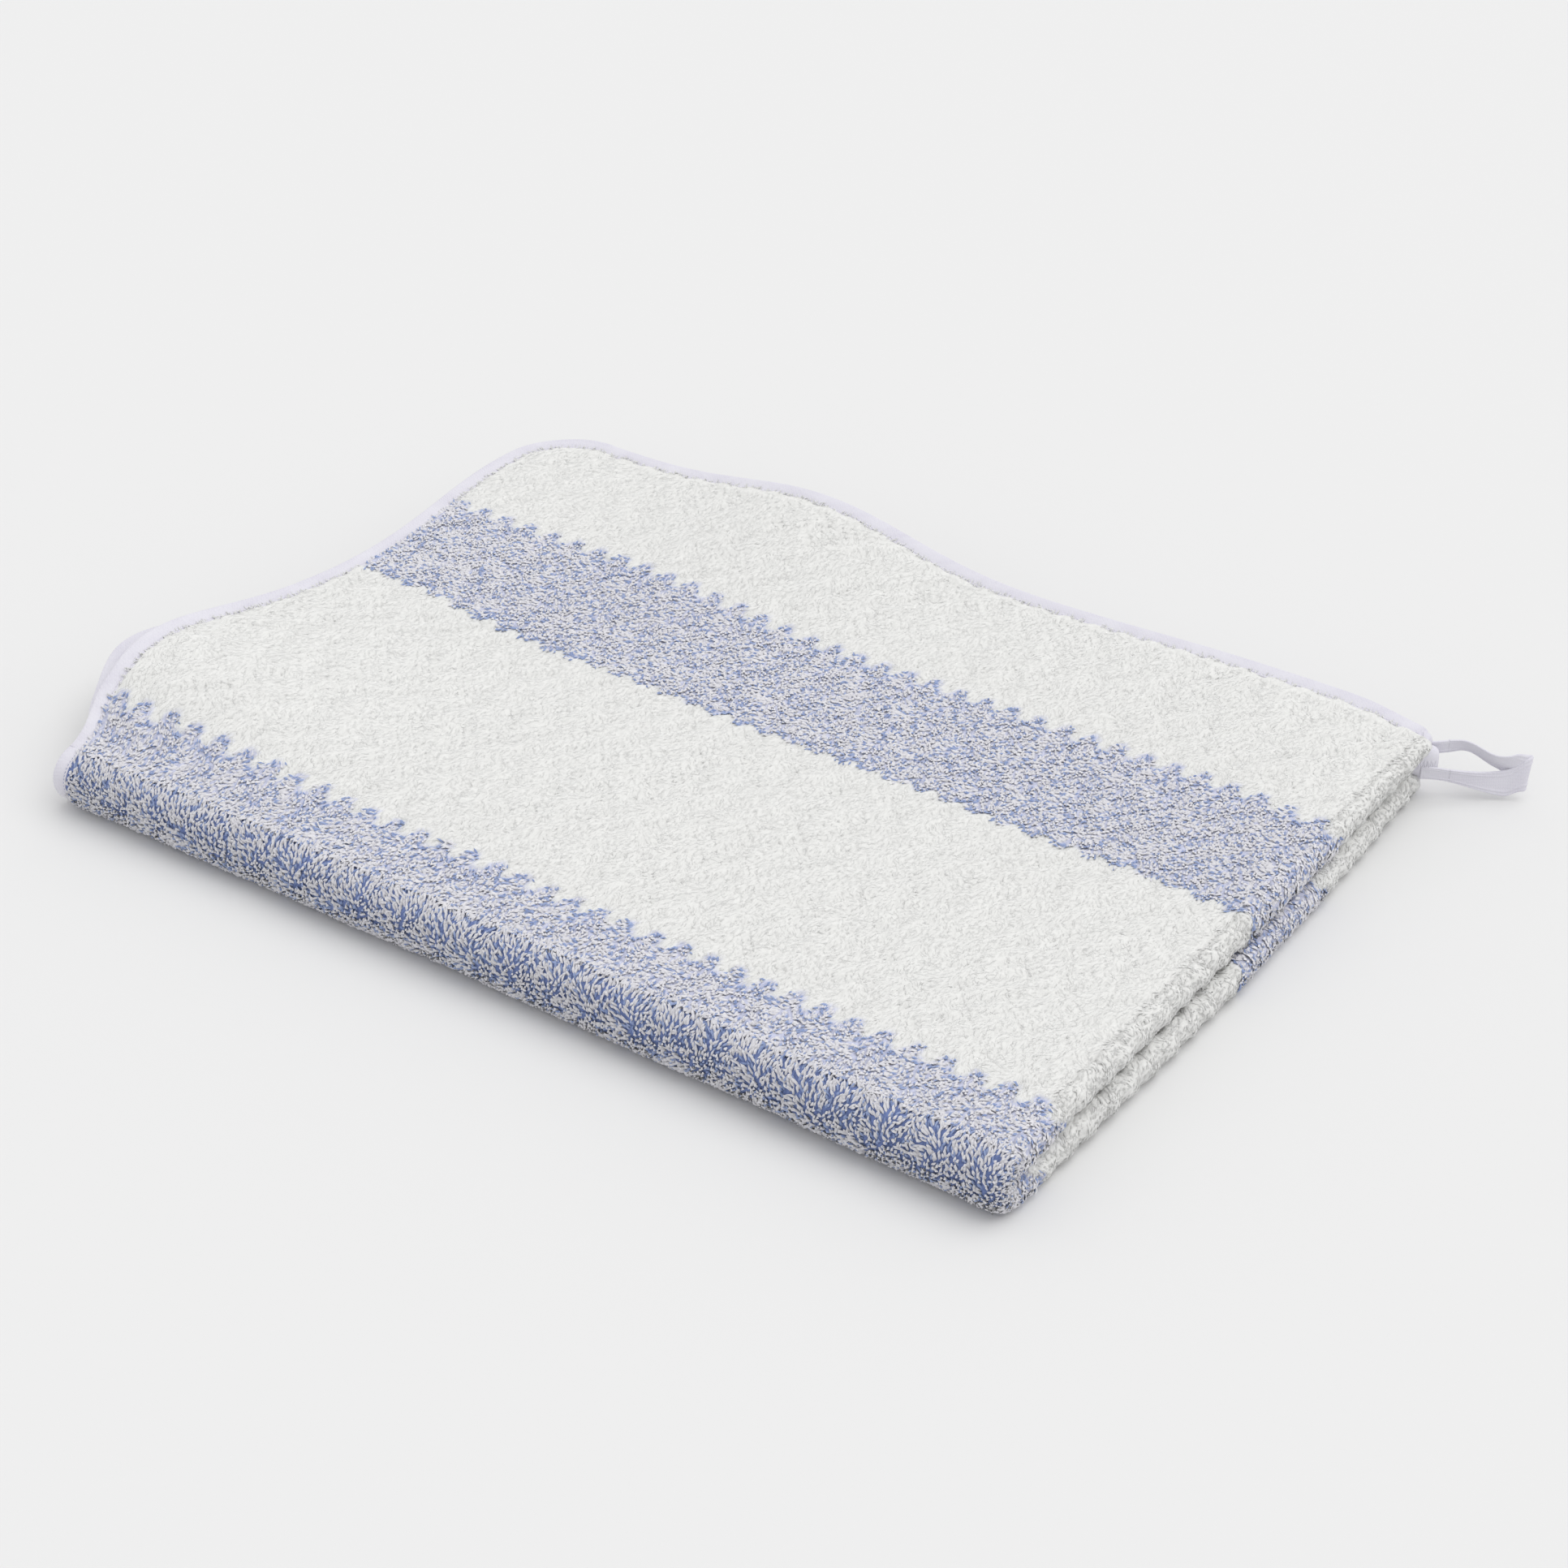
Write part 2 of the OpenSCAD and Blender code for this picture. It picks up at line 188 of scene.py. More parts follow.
def shift_forwards(x, y, z):
    """The front swells, except for the cloth close to the line that the fold turns about."""
    along = (x - left_x) / length
    swell = FRONT_SWELL * (1 - along) - FRONT_DIP * np.sin(math.pi * np.clip(along, 0, 1))
    bumps = UNEVEN * ripple(x, z * 3, 80 * MM, 6)
    outer = ease(4 * MM, 9 * MM, np.hypot(np.minimum(y - hinge_y, 0), z - hinge_z))
    return outer * (1 - ease(0, 60 * MM, y - front_y)) * (swell + bumps)


def lift(x, y, z):
    """The upper layers' rear edge lifts, and the cloth is a little uneven, more so higher up."""
    along, across = (x - left_x) / length, (y - front_y) / depth
    rear = ease(0.6, 1, across) * (REAR_LIFT + CORNER_LIFT * ease(0.45, 0.9, along))
    less_at_fold = 1 - 0.4 * ease(side_x - 40 * MM, side_x + 7 * MM, x)
    bumps = TOP_UNEVEN * ripple(x, y, 90 * MM, 7)
    return ease(hinge_z, hinge_z + 12 * MM, z) * rear * less_at_fold + ease(2 * MM, 24 * MM, z) * bumps


def settle(points):
    """Loosens the stack of flat layers and round folds, and keeps it above the table."""
    x, y = round_corner(points[:, 0], points[:, 1])
    z = points[:, 2]
    above_table = MM * np.log1p(np.exp(z / MM))
    return np.column_stack([
        x + shift_right(x, y, z), y - shift_forwards(x, y, z), above_table + lift(x, y, z)
    ])


# ---- surfaces


def edge_x(y, inset=0.0):
    """The x of the flat towel's left edge at y, with its rounded corner, or of a line inside it."""
    radius = corner_r - inset
    up = np.clip(y - corner_y, 0, radius)
    return corner_x - np.sqrt(radius ** 2 - up ** 2)


def edge_distance(a, b):
    """Distance from the towel's open edge, seen flat."""
    in_corner = (a < corner_x) & (b > corner_y)
    round_part = corner_r - np.hypot(a - corner_x, b - corner_y)
    return np.where(in_corner, round_part, np.minimum(a - left_x, rear_y - b))


def rim(s, inset):
    """A point of the open edge, s along it from the front fold, and inset from it."""
    left_l = corner_y - panel_y
    arc_l = corner_r * math.pi / 2
    angle = np.clip((s - left_l) / corner_r, 0, math.pi / 2)
    radius = corner_r - inset
    a = corner_x - radius * np.cos(angle) + np.maximum(s - left_l - arc_l, 0)
    b = corner_y + radius * np.sin(angle) + np.minimum(s - left_l, 0)
    return a, b


RIM_L = (corner_y - panel_y) + corner_r * math.pi / 2 + (side_x - corner_x)


class Layer:
    """One of the four layers: a grid of the middle of the cloth, read off the CAD panel. Its edge may
    bulge out in a lobe and curl up."""

    STEP = 4 * MM
    PROBE_INSET = 1.8 * MM      # rays that look for the panel stay this far inside the towel's edge
    CORNER_GAP = 6 * MM         # and those for the left edge this far from the rear one
    FAR_OUT = 0.1               # they start this far outside, in metres

    def __init__(self, name, pile, lobe=0.0, curl=0.0):
        self.name = name
        self.pile = pile
        self.lobe = lobe
        self.curl = curl
        self.panel = self.tree(name + "_panel")
        self.tape = self.tree(name + "_binding")
        self.low, self.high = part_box(name + "_binding")
        self.xs = np.linspace(left_x, side_x, round(length / self.STEP) + 1)
        self.ys = np.linspace(panel_y, rear_y, round((rear_y - panel_y) / self.STEP) + 1)
        self.push_x = blur(self.left_push(), 1.5)
        self.push_y = blur(self.rear_push(), 1.5)
        self.mid_z = blur(self.middle(), 2)
        grad_y, grad_x = np.gradient(self.mid_z, self.ys, self.xs)
        steep = np.sqrt(1 + grad_x ** 2 + grad_y ** 2)
        self.normal = np.stack([-grad_x / steep, -grad_y / steep, 1 / steep], axis=-1)

    @staticmethod
    def tree(node):
        mesh = frame["nodes"][node].data
        return BVHTree.FromPolygons([v.co for v in mesh.vertices], [p.vertices for p in mesh.polygons])

    def outermost(self, start, heading):
        """How far out the tape's edge is: rays at several heights, and the first thing they meet."""
        best = None
        for z in np.arange(self.low.z, self.high.z, MM):
            hit, _, _, _ = self.tape.ray_cast(Vector((start[0], start[1], z)), Vector(heading))
            if hit is not None:
                reach = hit.dot(Vector(heading))
                best = reach if best is None else min(best, reach)
        return best

    def left_push(self):
        """How far the tape of the left edge lies outside the flat towel's, fading inwards."""
        edge = []
        for y in self.ys:
            y = min(y, rear_y - self.CORNER_GAP)
            found = self.outermost((left_x - self.FAR_OUT, y), (1, 0, 0))
            edge.append(float(edge_x(y)) - found)
        fade = np.exp(-((self.xs - left_x) / PUSH_REACH) ** 2)
        edge_fade = np.exp(-((edge_x(self.ys) - left_x) / PUSH_REACH) ** 2)
        return np.outer(np.array(edge) / edge_fade, fade)

    def rear_push(self):
        """The same for the rear edge."""
        edge = []
        for x in self.xs:
            x = min(max(x, corner_x), side_x - MM)
            found = self.outermost((x, rear_y + self.FAR_OUT), (0, -1, 0))
            edge.append(-found - rear_y)
        fade = np.exp(-((self.ys - rear_y) / PUSH_REACH) ** 2)
        return np.outer(fade, np.array(edge))

    def probe(self, x, y):
        """The height of the middle of the CAD panel."""
        above = self.panel.ray_cast(Vector((x, y, 1)), Vector((0, 0, -1)))[0]
        below = self.panel.ray_cast(Vector((x, y, -1)), Vector((0, 0, 1)))[0]
        if above is None or below is None:
            return self.panel.find_nearest(Vector((x, y, (self.low.z + self.high.z) / 2)))[0].z
        return (above.z + below.z) / 2

    def middle(self):
        """Heights of the middle of the cloth over the flat towel's grid."""
        grid = np.zeros((len(self.ys), len(self.xs)))
        for j, y in enumerate(self.ys):
            for i, x in enumerate(self.xs):
                a, b = self.inside(x, y)
                grid[j, i] = self.probe(a - self.push_x[j, i], b + self.push_y[j, i])
        return grid

    def inside(self, x, y):
        """The point itself, or the nearest one that is far enough inside the cloth's edge."""
        y = max(y, panel_y + 0.5 * MM)
        x = min(x, side_x - 0.5 * MM)
        if x < corner_x and y > corner_y:
            out = math.hypot(x - corner_x, y - corner_y)
            scale = min(1, (corner_r - self.PROBE_INSET) / max(out, MM))
            return corner_x + (x - corner_x) * scale, corner_y + (y - corner_y) * scale
        return max(x, left_x + self.PROBE_INSET), min(y, rear_y - self.PROBE_INSET)

    def read(self, grid, a, b):
        """A grid's values at some points, blended from the four nearest nodes."""
        u = np.clip((a - left_x) / (self.xs[1] - self.xs[0]), 0, len(self.xs) - 1.001)
        v = np.clip((b - panel_y) / (self.ys[1] - self.ys[0]), 0, len(self.ys) - 1.001)
        i, j = u.astype(int), v.astype(int)
        wu, wv = u - i, v - j
        if grid.ndim == 3:
            wu, wv = wu[:, None], wv[:, None]
        near = grid[j, i] * (1 - wu) + grid[j, i + 1] * wu
        far = grid[j + 1, i] * (1 - wu) + grid[j + 1, i + 1] * wu
        return near * (1 - wv) + far * wv

    def place(self, a, b, h):
        a, b = np.asarray(a), np.asarray(b)
        inwards, from_front = a - left_x, b - panel_y
        along_lobe = np.clip(from_front / (LOBE_SHARE * depth), 0, 1)
        lobe = self.lobe * np.sin(math.pi * along_lobe) ** 2 * np.exp(-(inwards / PUSH_REACH) ** 2)
        off_front = ease(0, CURL_FADE, from_front)
        in_tape = 1 - np.clip(edge_distance(a, b) / tape_w, 0, 1)
        curl = self.curl * off_front * ease(0, CURL_FADE, side_x - a) * in_tape ** 1.5
        up = LOBE_LIFT * lobe * np.exp(-(inwards / LIFT_REACH) ** 2) + curl
        middle = np.column_stack([
            a - self.read(self.push_x, a, b) * off_front - lobe,
            b + self.read(self.push_y, a, b),
            self.read(self.mid_z, a, b) + up,
        ])
        return settle(middle + self.read(self.normal, a, b) * (np.asarray(h) * self.pile)[:, None])


class SideBend:
    """The cloth round a side fold: a runs round it from the top, b is y."""

    def __init__(self, centre_z):
        self.centre_z = centre_z
        self.measure_r = small_bend_r + SPLAY_R
        self.arc = math.pi * self.measure_r

    def place(self, a, b, h):
        angle = a / self.measure_r
        radius = small_bend_r + h
        return settle(np.column_stack([
            side_x + radius * np.sin(angle), b, self.centre_z + radius * np.cos(angle)
        ]))


class FrontBend:
    """The cloth round the front fold: a is x, b runs round it from the top."""

    def __init__(self, middle_r, pile):
        self.middle_r = middle_r
        self.pile = pile
        self.measure_r = middle_r + pile * SPLAY_R
        self.arc = math.pi * self.measure_r

    def place(self, a, b, h):
        angle = b / self.measure_r
        radius = self.middle_r + self.pile * h
        return settle(np.column_stack([
            a, hinge_y - radius * np.sin(angle), hinge_z + radius * np.cos(angle)
        ]))


class CornerBend:
    """Where the side folds run round the front fold: a runs round the side fold, b round the front."""

    def __init__(self):
        self.side_r = small_bend_r + SPLAY_R
        self.front_r = outer_bend_r + SPLAY_R
        self.arc_a = math.pi * self.side_r
        self.arc_b = math.pi * self.front_r

    def place(self, a, b, h):
        round_side = a / self.side_r
        round_front = b / self.front_r
        radius = small_bend_r + h
        out = pitch + radius * np.cos(round_side)
        return settle(np.column_stack([
            side_x + radius * np.sin(round_side),
            hinge_y - out * np.sin(round_front),
            hinge_z + out * np.cos(round_front),
        ]))


class Flat:
    """A flat surface at a height, pile up."""

    def __init__(self, z):
        self.z = z

    def place(self, a, b, h):
        return settle(np.column_stack([a, b, self.z + h]))


# ---- mesh building


def signed_volume(points, faces):
    """Six times the volume inside closed faces; negative when they face inwards."""
    total = 0.0
    for group in faces:
        first = points[group[:, 0]]
        for k in range(1, group.shape[1] - 1):
            cross = np.cross(points[group[:, k]], points[group[:, k + 1]])
            total += float((first * cross).sum())
    return total


def make_piece(name, points, faces, material, tone=None, normals=None):
    """A smooth mesh object from points and lists of faces with equal numbers of corners."""
    if signed_volume(points, faces) < 0:
        faces = [group[:, ::-1] for group in faces]
    mesh = bpy.data.meshes.new(name)
    corners = np.concatenate([f.ravel() for f in faces]).astype(np.int32)
    sizes = np.concatenate([np.full(len(f), f.shape[1]) for f in faces])
    starts = np.concatenate([[0], np.cumsum(sizes)[:-1]]).astype(np.int32)
    mesh.vertices.add(len(points))
    mesh.vertices.foreach_set("co", np.asarray(points, np.float32).ravel())
    mesh.loops.add(len(corners))
    mesh.loops.foreach_set("vertex_index", corners)
    mesh.polygons.add(len(sizes))
    mesh.polygons.foreach_set("loop_start", starts)
    mesh.update(calc_edges=True)
    mesh.polygons.foreach_set("use_smooth", sizes <= 4)
    if tone is not None:
        layer = mesh.attributes.new("tone", "FLOAT", "POINT")
        layer.data.foreach_set("value", np.asarray(tone, np.float32))
    if normals is not None:
        mesh.normals_split_custom_set_from_vertices(normals)
    mesh.materials.append(material)
    piece = bpy.data.objects.new(name, mesh)
    bpy.context.scene.collection.objects.link(piece)
    return piece


def sheet_faces(rows, cols, closed=False):
    """Quads over a grid of rows x cols points; when closed, a row's last point joins its first."""
    row, i = np.meshgrid(np.arange(rows - 1), np.arange(cols if closed else cols - 1), indexing="ij")
    start, after = row * cols, (i + 1) % cols
    quads = np.stack([start + i, start + after, start + cols + after, start + cols + i], axis=-1)
    return quads.reshape(-1, 4)


def tube_faces(rows, around):
    """Faces of a tube of rows of points: its side, its first end and its last end."""
    ring = np.arange(around)[None]
    return [sheet_faces(rows, around, closed=True), ring[:, ::-1], ring + (rows - 1) * around]


def closed_sheet(upper, lower, rows, cols):
    """Points and faces of a sheet from its two sides, each a grid of rows x cols points."""
    count = rows * cols
    quads = sheet_faces(rows, cols)
    index = np.arange(count).reshape(rows, cols)
    border = np.concatenate([index[0, :-1], index[:-1, -1], index[-1, :0:-1], index[:0:-1, 0]])
    after = np.roll(border, -1)
    wall = np.stack([border, border + count, after + count, after], axis=-1)
    return np.vstack([upper, lower]), [quads, quads[:, ::-1] + count, wall]


def slab(surface, a, b, top, back):
    """A closed sheet of cloth over grids a and b, between the heights back and top."""
    upper = surface.place(a.ravel(), b.ravel(), np.broadcast_to(top, a.shape).ravel())
    lower = surface.place(a.ravel(), b.ravel(), np.broadcast_to(back, a.shape).ravel())
    return closed_sheet(upper, lower, *a.shape)


def sweep(place, stations, profile):
    """A closed section drawn along an edge. profile holds (inset, height) points."""
    s = np.repeat(stations, len(profile))
    inset = np.tile(profile[:, 0], len(stations))
    h = np.tile(profile[:, 1], len(stations))
    return place(s, inset, h), tube_faces(len(stations), len(profile))


def stripe_edge(a, b, edge, tooth_h, towards):
    """Distance of a point inside one toothed edge of a blue stripe."""
    phase = (a - left_x) / TOOTH_PITCH
    tooth = ease(0.25, 0.75, np.abs(2 * (phase - np.floor(phase)) - 1))
    wander = 0.8 * MM * ripple(a, b, 30 * MM, 11)
    return towards * (edge - b) + tooth_h * (tooth - 0.5) + wander


def blue_depth(a, b, body):
    """How far a point lies inside a blue stripe; negative in the white."""
    y = b - front_y
    first = FIRST_STRIPE_END[body]
    start, end = first + WHITE_W, first + WHITE_W + STRIPE_W
    front_stripe = stripe_edge(a, y, first, TOOTH_H["rear"], 1)
    middle_stripe = np.minimum(
        stripe_edge(a, y, start, TOOTH_H["front"], -1), stripe_edge(a, y, end, TOOTH_H["rear"], 1)
    )
    return np.maximum(front_stripe, middle_stripe)


def knit_relief(a, b):
    """Soft ridges along one diagonal of the stripes, with short dents across them."""
    along = (a + b) * math.sqrt(0.5) + 0.8 * MM * ripple(a, b, 40 * MM, 23)
    across = (b - a) * math.sqrt(0.5) + 0.8 * MM * ripple(a, b, 45 * MM, 22)
    ridge = np.cos(TAU * across / RIDGE_PITCH)
    column = np.abs((along / RIDGE_PITCH + 0.5) % 1 - 0.5) * RIDGE_PITCH
    dent = (1 - ease(0.5 * MM, 2.2 * MM, column)) * ease(-0.4, 0.8, ripple(a, b, 14 * MM, 24))
    return RIDGE_H * ridge - DENT_H * dent


def ground_height(a, b, body, raised):
    """Top of the ground cloth away from the tape; raised is 1 where the pile is at its closest."""
    depth = blue_depth(a, b, body)
    close = PLAIN_H + (STRIPED_H - PLAIN_H) * ease(-1.5 * MM, 1.5 * MM, depth)
    relief = knit_relief(a, b) * (1 - 0.6 * ease(-2 * MM, 2 * MM, depth))
    return GROUND_H + (close - GROUND_H + relief) * raised


# ---- materials


def node_material(name):
    material = bpy.data.materials.new(name)
    material.use_nodes = True
    tree = material.node_tree
    return material, tree, tree.nodes["Principled BSDF"]


def set_inputs(tree, node, values):
    """Sets a node's inputs and settings by name. An output of another node is linked."""
    for key, value in values.items():
        if isinstance(value, bpy.types.NodeSocket):
            tree.links.new(value, node.inputs[key])
        elif key in node.inputs:
            node.inputs[key].default_value = value
        else:
            setattr(node, key, value)


def add_node(tree, kind, values):
    node = tree.nodes.new(kind)
    set_inputs(tree, node, values)
    return node


def colour_mix(tree, factor, first, second):
    """Mixes two colours; each is a colour or another node's output."""
    mix = tree.nodes.new("ShaderNodeMix")
    mix.data_type = "RGBA"
    tree.links.new(factor, mix.inputs["Factor"])
    for socket, value in ((mix.inputs["A"], first), (mix.inputs["B"], second)):
        if isinstance(value, bpy.types.NodeSocket):
            tree.links.new(value, socket)
        else:
            socket.default_value = (*value, 1)
    return mix.outputs["Result"]


def remap(tree, value, start=(0, 1), end=(0, 1)):
    """Stretches a value's range from start to end."""
    return add_node(tree, "ShaderNodeMapRange", {
        "Value": value, "From Min": start[0], "From Max": start[1], "To Min": end[0], "To Max": end[1],
    }).outputs["Result"]


def bump(tree, height, strength, distance):
    values = {"Height": height, "Strength": strength, "Distance": distance}
    return add_node(tree, "ShaderNodeBump", values).outputs["Normal"]


def object_position(tree):
    return tree.nodes.new("ShaderNodeTexCoord").outputs["Object"]


def fine_noise(tree, scale, detail=2):
    values = {"Vector": object_position(tree), "Scale": scale, "Detail": detail}
    return add_node(tree, "ShaderNodeTexNoise", values).outputs["Fac"]


def strand_tone(tree):
    """The number from 0 to 1 that each point of a mesh carries."""
    return add_node(tree, "ShaderNodeAttribute", {"attribute_name": "tone"}).outputs["Fac"]


def dull_and_soft(tree, shader, scattering):
    """The surface of cotton: rough, with a faint sheen and light that scatters inside."""
    set_inputs(tree, shader, {
        "Roughness": remap(tree, fine_noise(tree, 900), end=(0.75, 0.95)),
        "Sheen Weight": 0.1, "Sheen Roughness": 0.5, "Specular IOR Level": 0.1,
        "Subsurface Weight": scattering, "Subsurface Radius": (1, 1, 1), "Subsurface Scale": 2 * MM,
    })


def pile_material(name, dark, light, tint):
    """Yarn of the pile: each strand has its own tone, and the cloth a slight large-scale tint."""
    material, tree, shader = node_material(name)
    own = colour_mix(tree, strand_tone(tree), dark, light)
    tinted = remap(tree, fine_noise(tree, 9), start=(0.4, 0.65), end=(0, 0.6))
    set_inputs(tree, shader, {"Base Color": colour_mix(tree, tinted, own, tint)})
    dull_and_soft(tree, shader, 0.3)
    return material


def combed_noise(tree):
    """Noise drawn out into short streaks, like the ends of fine yarn combed one way."""
    swirl = add_node(tree, "ShaderNodeTexNoise",
                     {"Vector": object_position(tree), "Scale": 45, "Detail": 1})
    shift = add_node(tree, "ShaderNodeVectorMath", {"operation": "MULTIPLY_ADD"})
    shift.inputs[1].default_value = (0.02, 0.02, 0.02)
    tree.links.new(swirl.outputs["Color"], shift.inputs[0])
    tree.links.new(object_position(tree), shift.inputs[2])
    comb = add_node(tree, "ShaderNodeMapping", {
        "Vector": shift.outputs["Vector"], "Rotation": (0, 0, math.radians(-30)),
        "Scale": (1000, 320, 500),
    })
    streaks = {"Vector": comb.outputs["Vector"], "Scale": 1, "Detail": 3, "Roughness": 0.6}
    return add_node(tree, "ShaderNodeTexNoise", streaks).outputs["Fac"]


def darker(colour, share):
    return tuple(share * part for part in colour)


def knit_material(name, plain, striped):
    """The ground and the dense roots of its pile; where "tone" is high it has the stripes' colour. Painted
    shade darkens it in the low grooves of its combed streaks.
    """
    material, tree, shader = node_material(name)
    stripe = strand_tone(tree)
    own = colour_mix(tree, stripe, plain, striped)
    # Painted shade: a darker copy of the colour, mixed in where the combed streaks run low, in the grooves
    # their bump sinks in.
    shade = colour_mix(tree, stripe, darker(plain, 0.9), darker(striped, 0.7))
    streaks = combed_noise(tree)
    groove_shade = remap(tree, streaks, start=(0.6, 0.35))
    set_inputs(tree, shader, {
        "Base Color": colour_mix(tree, groove_shade, own, shade), "Normal": bump(tree, streaks, 0.6, 0.5 * MM),
    })
    dull_and_soft(tree, shader, 0.2)
    return material


def woven_material(name, light, dark, scale, strength=0.35):
    """Tape, thread and label: a fine weave of light and dark with a soft sheen."""
    material, tree, shader = node_material(name)
    weave = add_node(tree, "ShaderNodeTexMagic", {
        "Vector": object_position(tree), "Scale": scale, "Distortion": 1.4, "turbulence_depth": 3,
    }).outputs["Fac"]
    cross = add_node(tree, "ShaderNodeMath", {"operation": "MULTIPLY"})
    tree.links.new(weave, cross.inputs[0])
    tree.links.new(remap(tree, fine_noise(tree, 60, 3), start=(0.3, 0.7)), cross.inputs[1])
    set_inputs(tree, shader, {
        "Base Color": colour_mix(tree, cross.outputs["Value"], light, dark),
        "Normal": bump(tree, weave, strength, 0.3 * MM),
        "Roughness": remap(tree, fine_noise(tree, 500), end=(0.55, 0.8)),
        "Sheen Weight": 0.3,
    })
    return material


white_pile = pile_material("white_pile", (0.765, 0.765, 0.75), (0.835, 0.835, 0.825), (0.80, 0.80, 0.785))
grey_pile = pile_material("grey_pile", (0.74, 0.73, 0.79), (0.85, 0.84, 0.88), (0.80, 0.79, 0.84))
blue_pile = pile_material("blue_pile", (0.22, 0.29, 0.54), (0.38, 0.46, 0.72), (0.30, 0.38, 0.64))
ground_cloth = knit_material("ground_cloth", (0.765, 0.765, 0.75), (0.58, 0.60, 0.75))
ground_blue = knit_material("ground_blue", (0.24, 0.30, 0.55), (0.18, 0.24, 0.48))
tape_cloth = woven_material("tape_cloth", (0.70, 0.69, 0.75), (0.60, 0.58, 0.67), 420)
thread = woven_material("thread", (0.74, 0.73, 0.79), (0.55, 0.53, 0.65), 900)
satin = woven_material("satin", (0.90, 0.90, 0.90), (0.78, 0.78, 0.79), 700, 0.15)

# ---- pile

STRAND_RINGS = ((0.0, 0.8), (0.72, 0.95))       # place along a strand, share of its full width
SECTION = (0.25 + np.arange(3) / 3) * TAU       # the corners of its three-sided section
OWN_SHARE = {"plain": 0.06, "striped": 0.15}    # how much of its shading is a strand's own


def soft_normals(surface, tufts, points):
    """Normals between the strand's own and the cloth's, so that light falls on it as on fine yarn."""
    flat = np.zeros(len(tufts["a"]))
    low = surface.place(tufts["a"], tufts["b"], flat)
    high = surface.place(tufts["a"], tufts["b"], flat + MM)
    cloth = (high - low)[:, None, :] / MM
    ring = points[:, :6].reshape(len(points), 2, 3, 3)
    centres = ring.mean(axis=2, keepdims=True)
    round_strand = np.concatenate([
        (ring - centres).reshape(len(points), 6, 3), points[:, 6:] - centres[:, 1],
    ], axis=1)
    round_strand /= np.linalg.norm(round_strand, axis=2, keepdims=True)
    own = tufts["own"][:, None, None]
    mixed = (1 - own) * cloth + own * round_strand
    return (mixed / np.linalg.norm(mixed, axis=2, keepdims=True)).reshape(-1, 3)


def strand_faces(count, per):
    """Faces of strands of two rings of three points and a tip each."""
    start = (np.arange(count) * per)[:, None]
    quads = np.concatenate([start + [k, (k + 1) % 3, 3 + (k + 1) % 3, 3 + k] for k in range(3)])
    tips = np.concatenate([start + [3 + k, 3 + (k + 1) % 3, 6] for k in range(3)])
    return [quads, tips, start + [2, 1, 0]]


def strand_mesh(surface, tufts, ground):
    """Bent, tapering strands of yarn on the ground cloth, closed solids with a three-sided section."""
    n = len(tufts["a"])
    reach = tufts["length"] * tufts["lean"]
    rise = tufts["length"] * np.sqrt(1 - tufts["lean"] ** 2)
    ahead_a, ahead_b = np.cos(tufts["heading"]), np.sin(tufts["heading"])
    rows = []
    for t, share in STRAND_RINGS:
        along = reach * t ** 1.6
        height = rise * (1 - (1 - t) ** 1.5) - ROOT_DEPTH
        run, climb = reach * 1.6 * t ** 0.6, rise * 1.5 * (1 - t) ** 0.5
        size = np.hypot(run, climb)
        for angle in SECTION:
            out = share * tufts["width"] / 2 * math.sin(angle)
            aside = share * tufts["width"] / 2 * math.cos(angle)
            forward = along - out * climb / size
            rows.append((
                tufts["a"] + ahead_a * forward - ahead_b * aside,
                tufts["b"] + ahead_b * forward + ahead_a * aside,
                height + out * run / size,
            ))
    rows.append((tufts["a"] + ahead_a * reach, tufts["b"] + ahead_b * reach, rise - ROOT_DEPTH))
    a, b, h = (np.stack([row[k] for row in rows], axis=1).ravel() for k in range(3))
    points = surface.place(a, b, h + ground(a, b))
    per = len(rows)
    normals = soft_normals(surface, tufts, points.reshape(n, per, 3))
    return points, strand_faces(n, per), np.repeat(tufts["tone"], per), normals


def tuft_grid(a_range, b_range, gap, rng):
    """Jittered rows of tuft roots, every other row shifted by half a gap."""
    cols = int((a_range[1] - a_range[0]) / gap)
    rows = int((b_range[1] - b_range[0]) / gap)
    i, j = np.meshgrid(np.arange(cols), np.arange(rows))
    a = a_range[0] + (i + 0.5 + 0.5 * (j % 2)) * gap
    b = b_range[0] + (j + 0.5) * gap
    a = a + rng.uniform(-0.4, 0.4, a.shape) * gap
    b = b + rng.uniform(-0.4, 0.4, b.shape) * gap
    inside = (a < a_range[1]) & (b < b_range[1])
    return a[inside], b[inside]


PILE_TOP = 3.6 * MM             # the pile's height above the middle of the cloth
PLAIN_RISE = 0.05 * MM          # how far the white strands stand out of the dense pile
STRAND_L = 2.2 * MM
ROOT_DEPTH = 0.5 * MM
SEAM_FRINGE = 1.6 * MM
EDGE_BAND = 3.0 * MM            # the stripes have more blue this close to their edges
MOST_STRANDS = 19000            # in one piece
EDGE_BLUE, INNER_BLUE = 0.75, 0.26                  # share of blue strands near a stripe's edge, inside it
STRAND_W = {"blue": 0.75, "grey": 0.9, "white": 0.44}   # a strand's width, as a share of their gap
COMBED = -math.pi / 2           # the way the strands lie: towards the front
SWIRL = 1.6                     # how far they swirl away from it, in radians


def comb_over_seam(a, b, tufts, rng):
    """Lets the strands next to the edge tape rise and fall outwards, over its seam."""
    step = 0.1 * MM
    inset = edge_distance(a, b)
    out_a = inset - edge_distance(a + step, b)
    out_b = inset - edge_distance(a, b + step)
    near = (inset < tape_w + SEAM_FRINGE) & (a < side_x - tape_w)
    outwards = np.arctan2(out_b, out_a) + rng.normal(0, 0.5, len(a))
    tufts["heading"] = np.where(near, outwards, tufts["heading"])
    tufts["lean"] = np.where(near, rng.uniform(0.72, 0.92, len(a)), tufts["lean"])


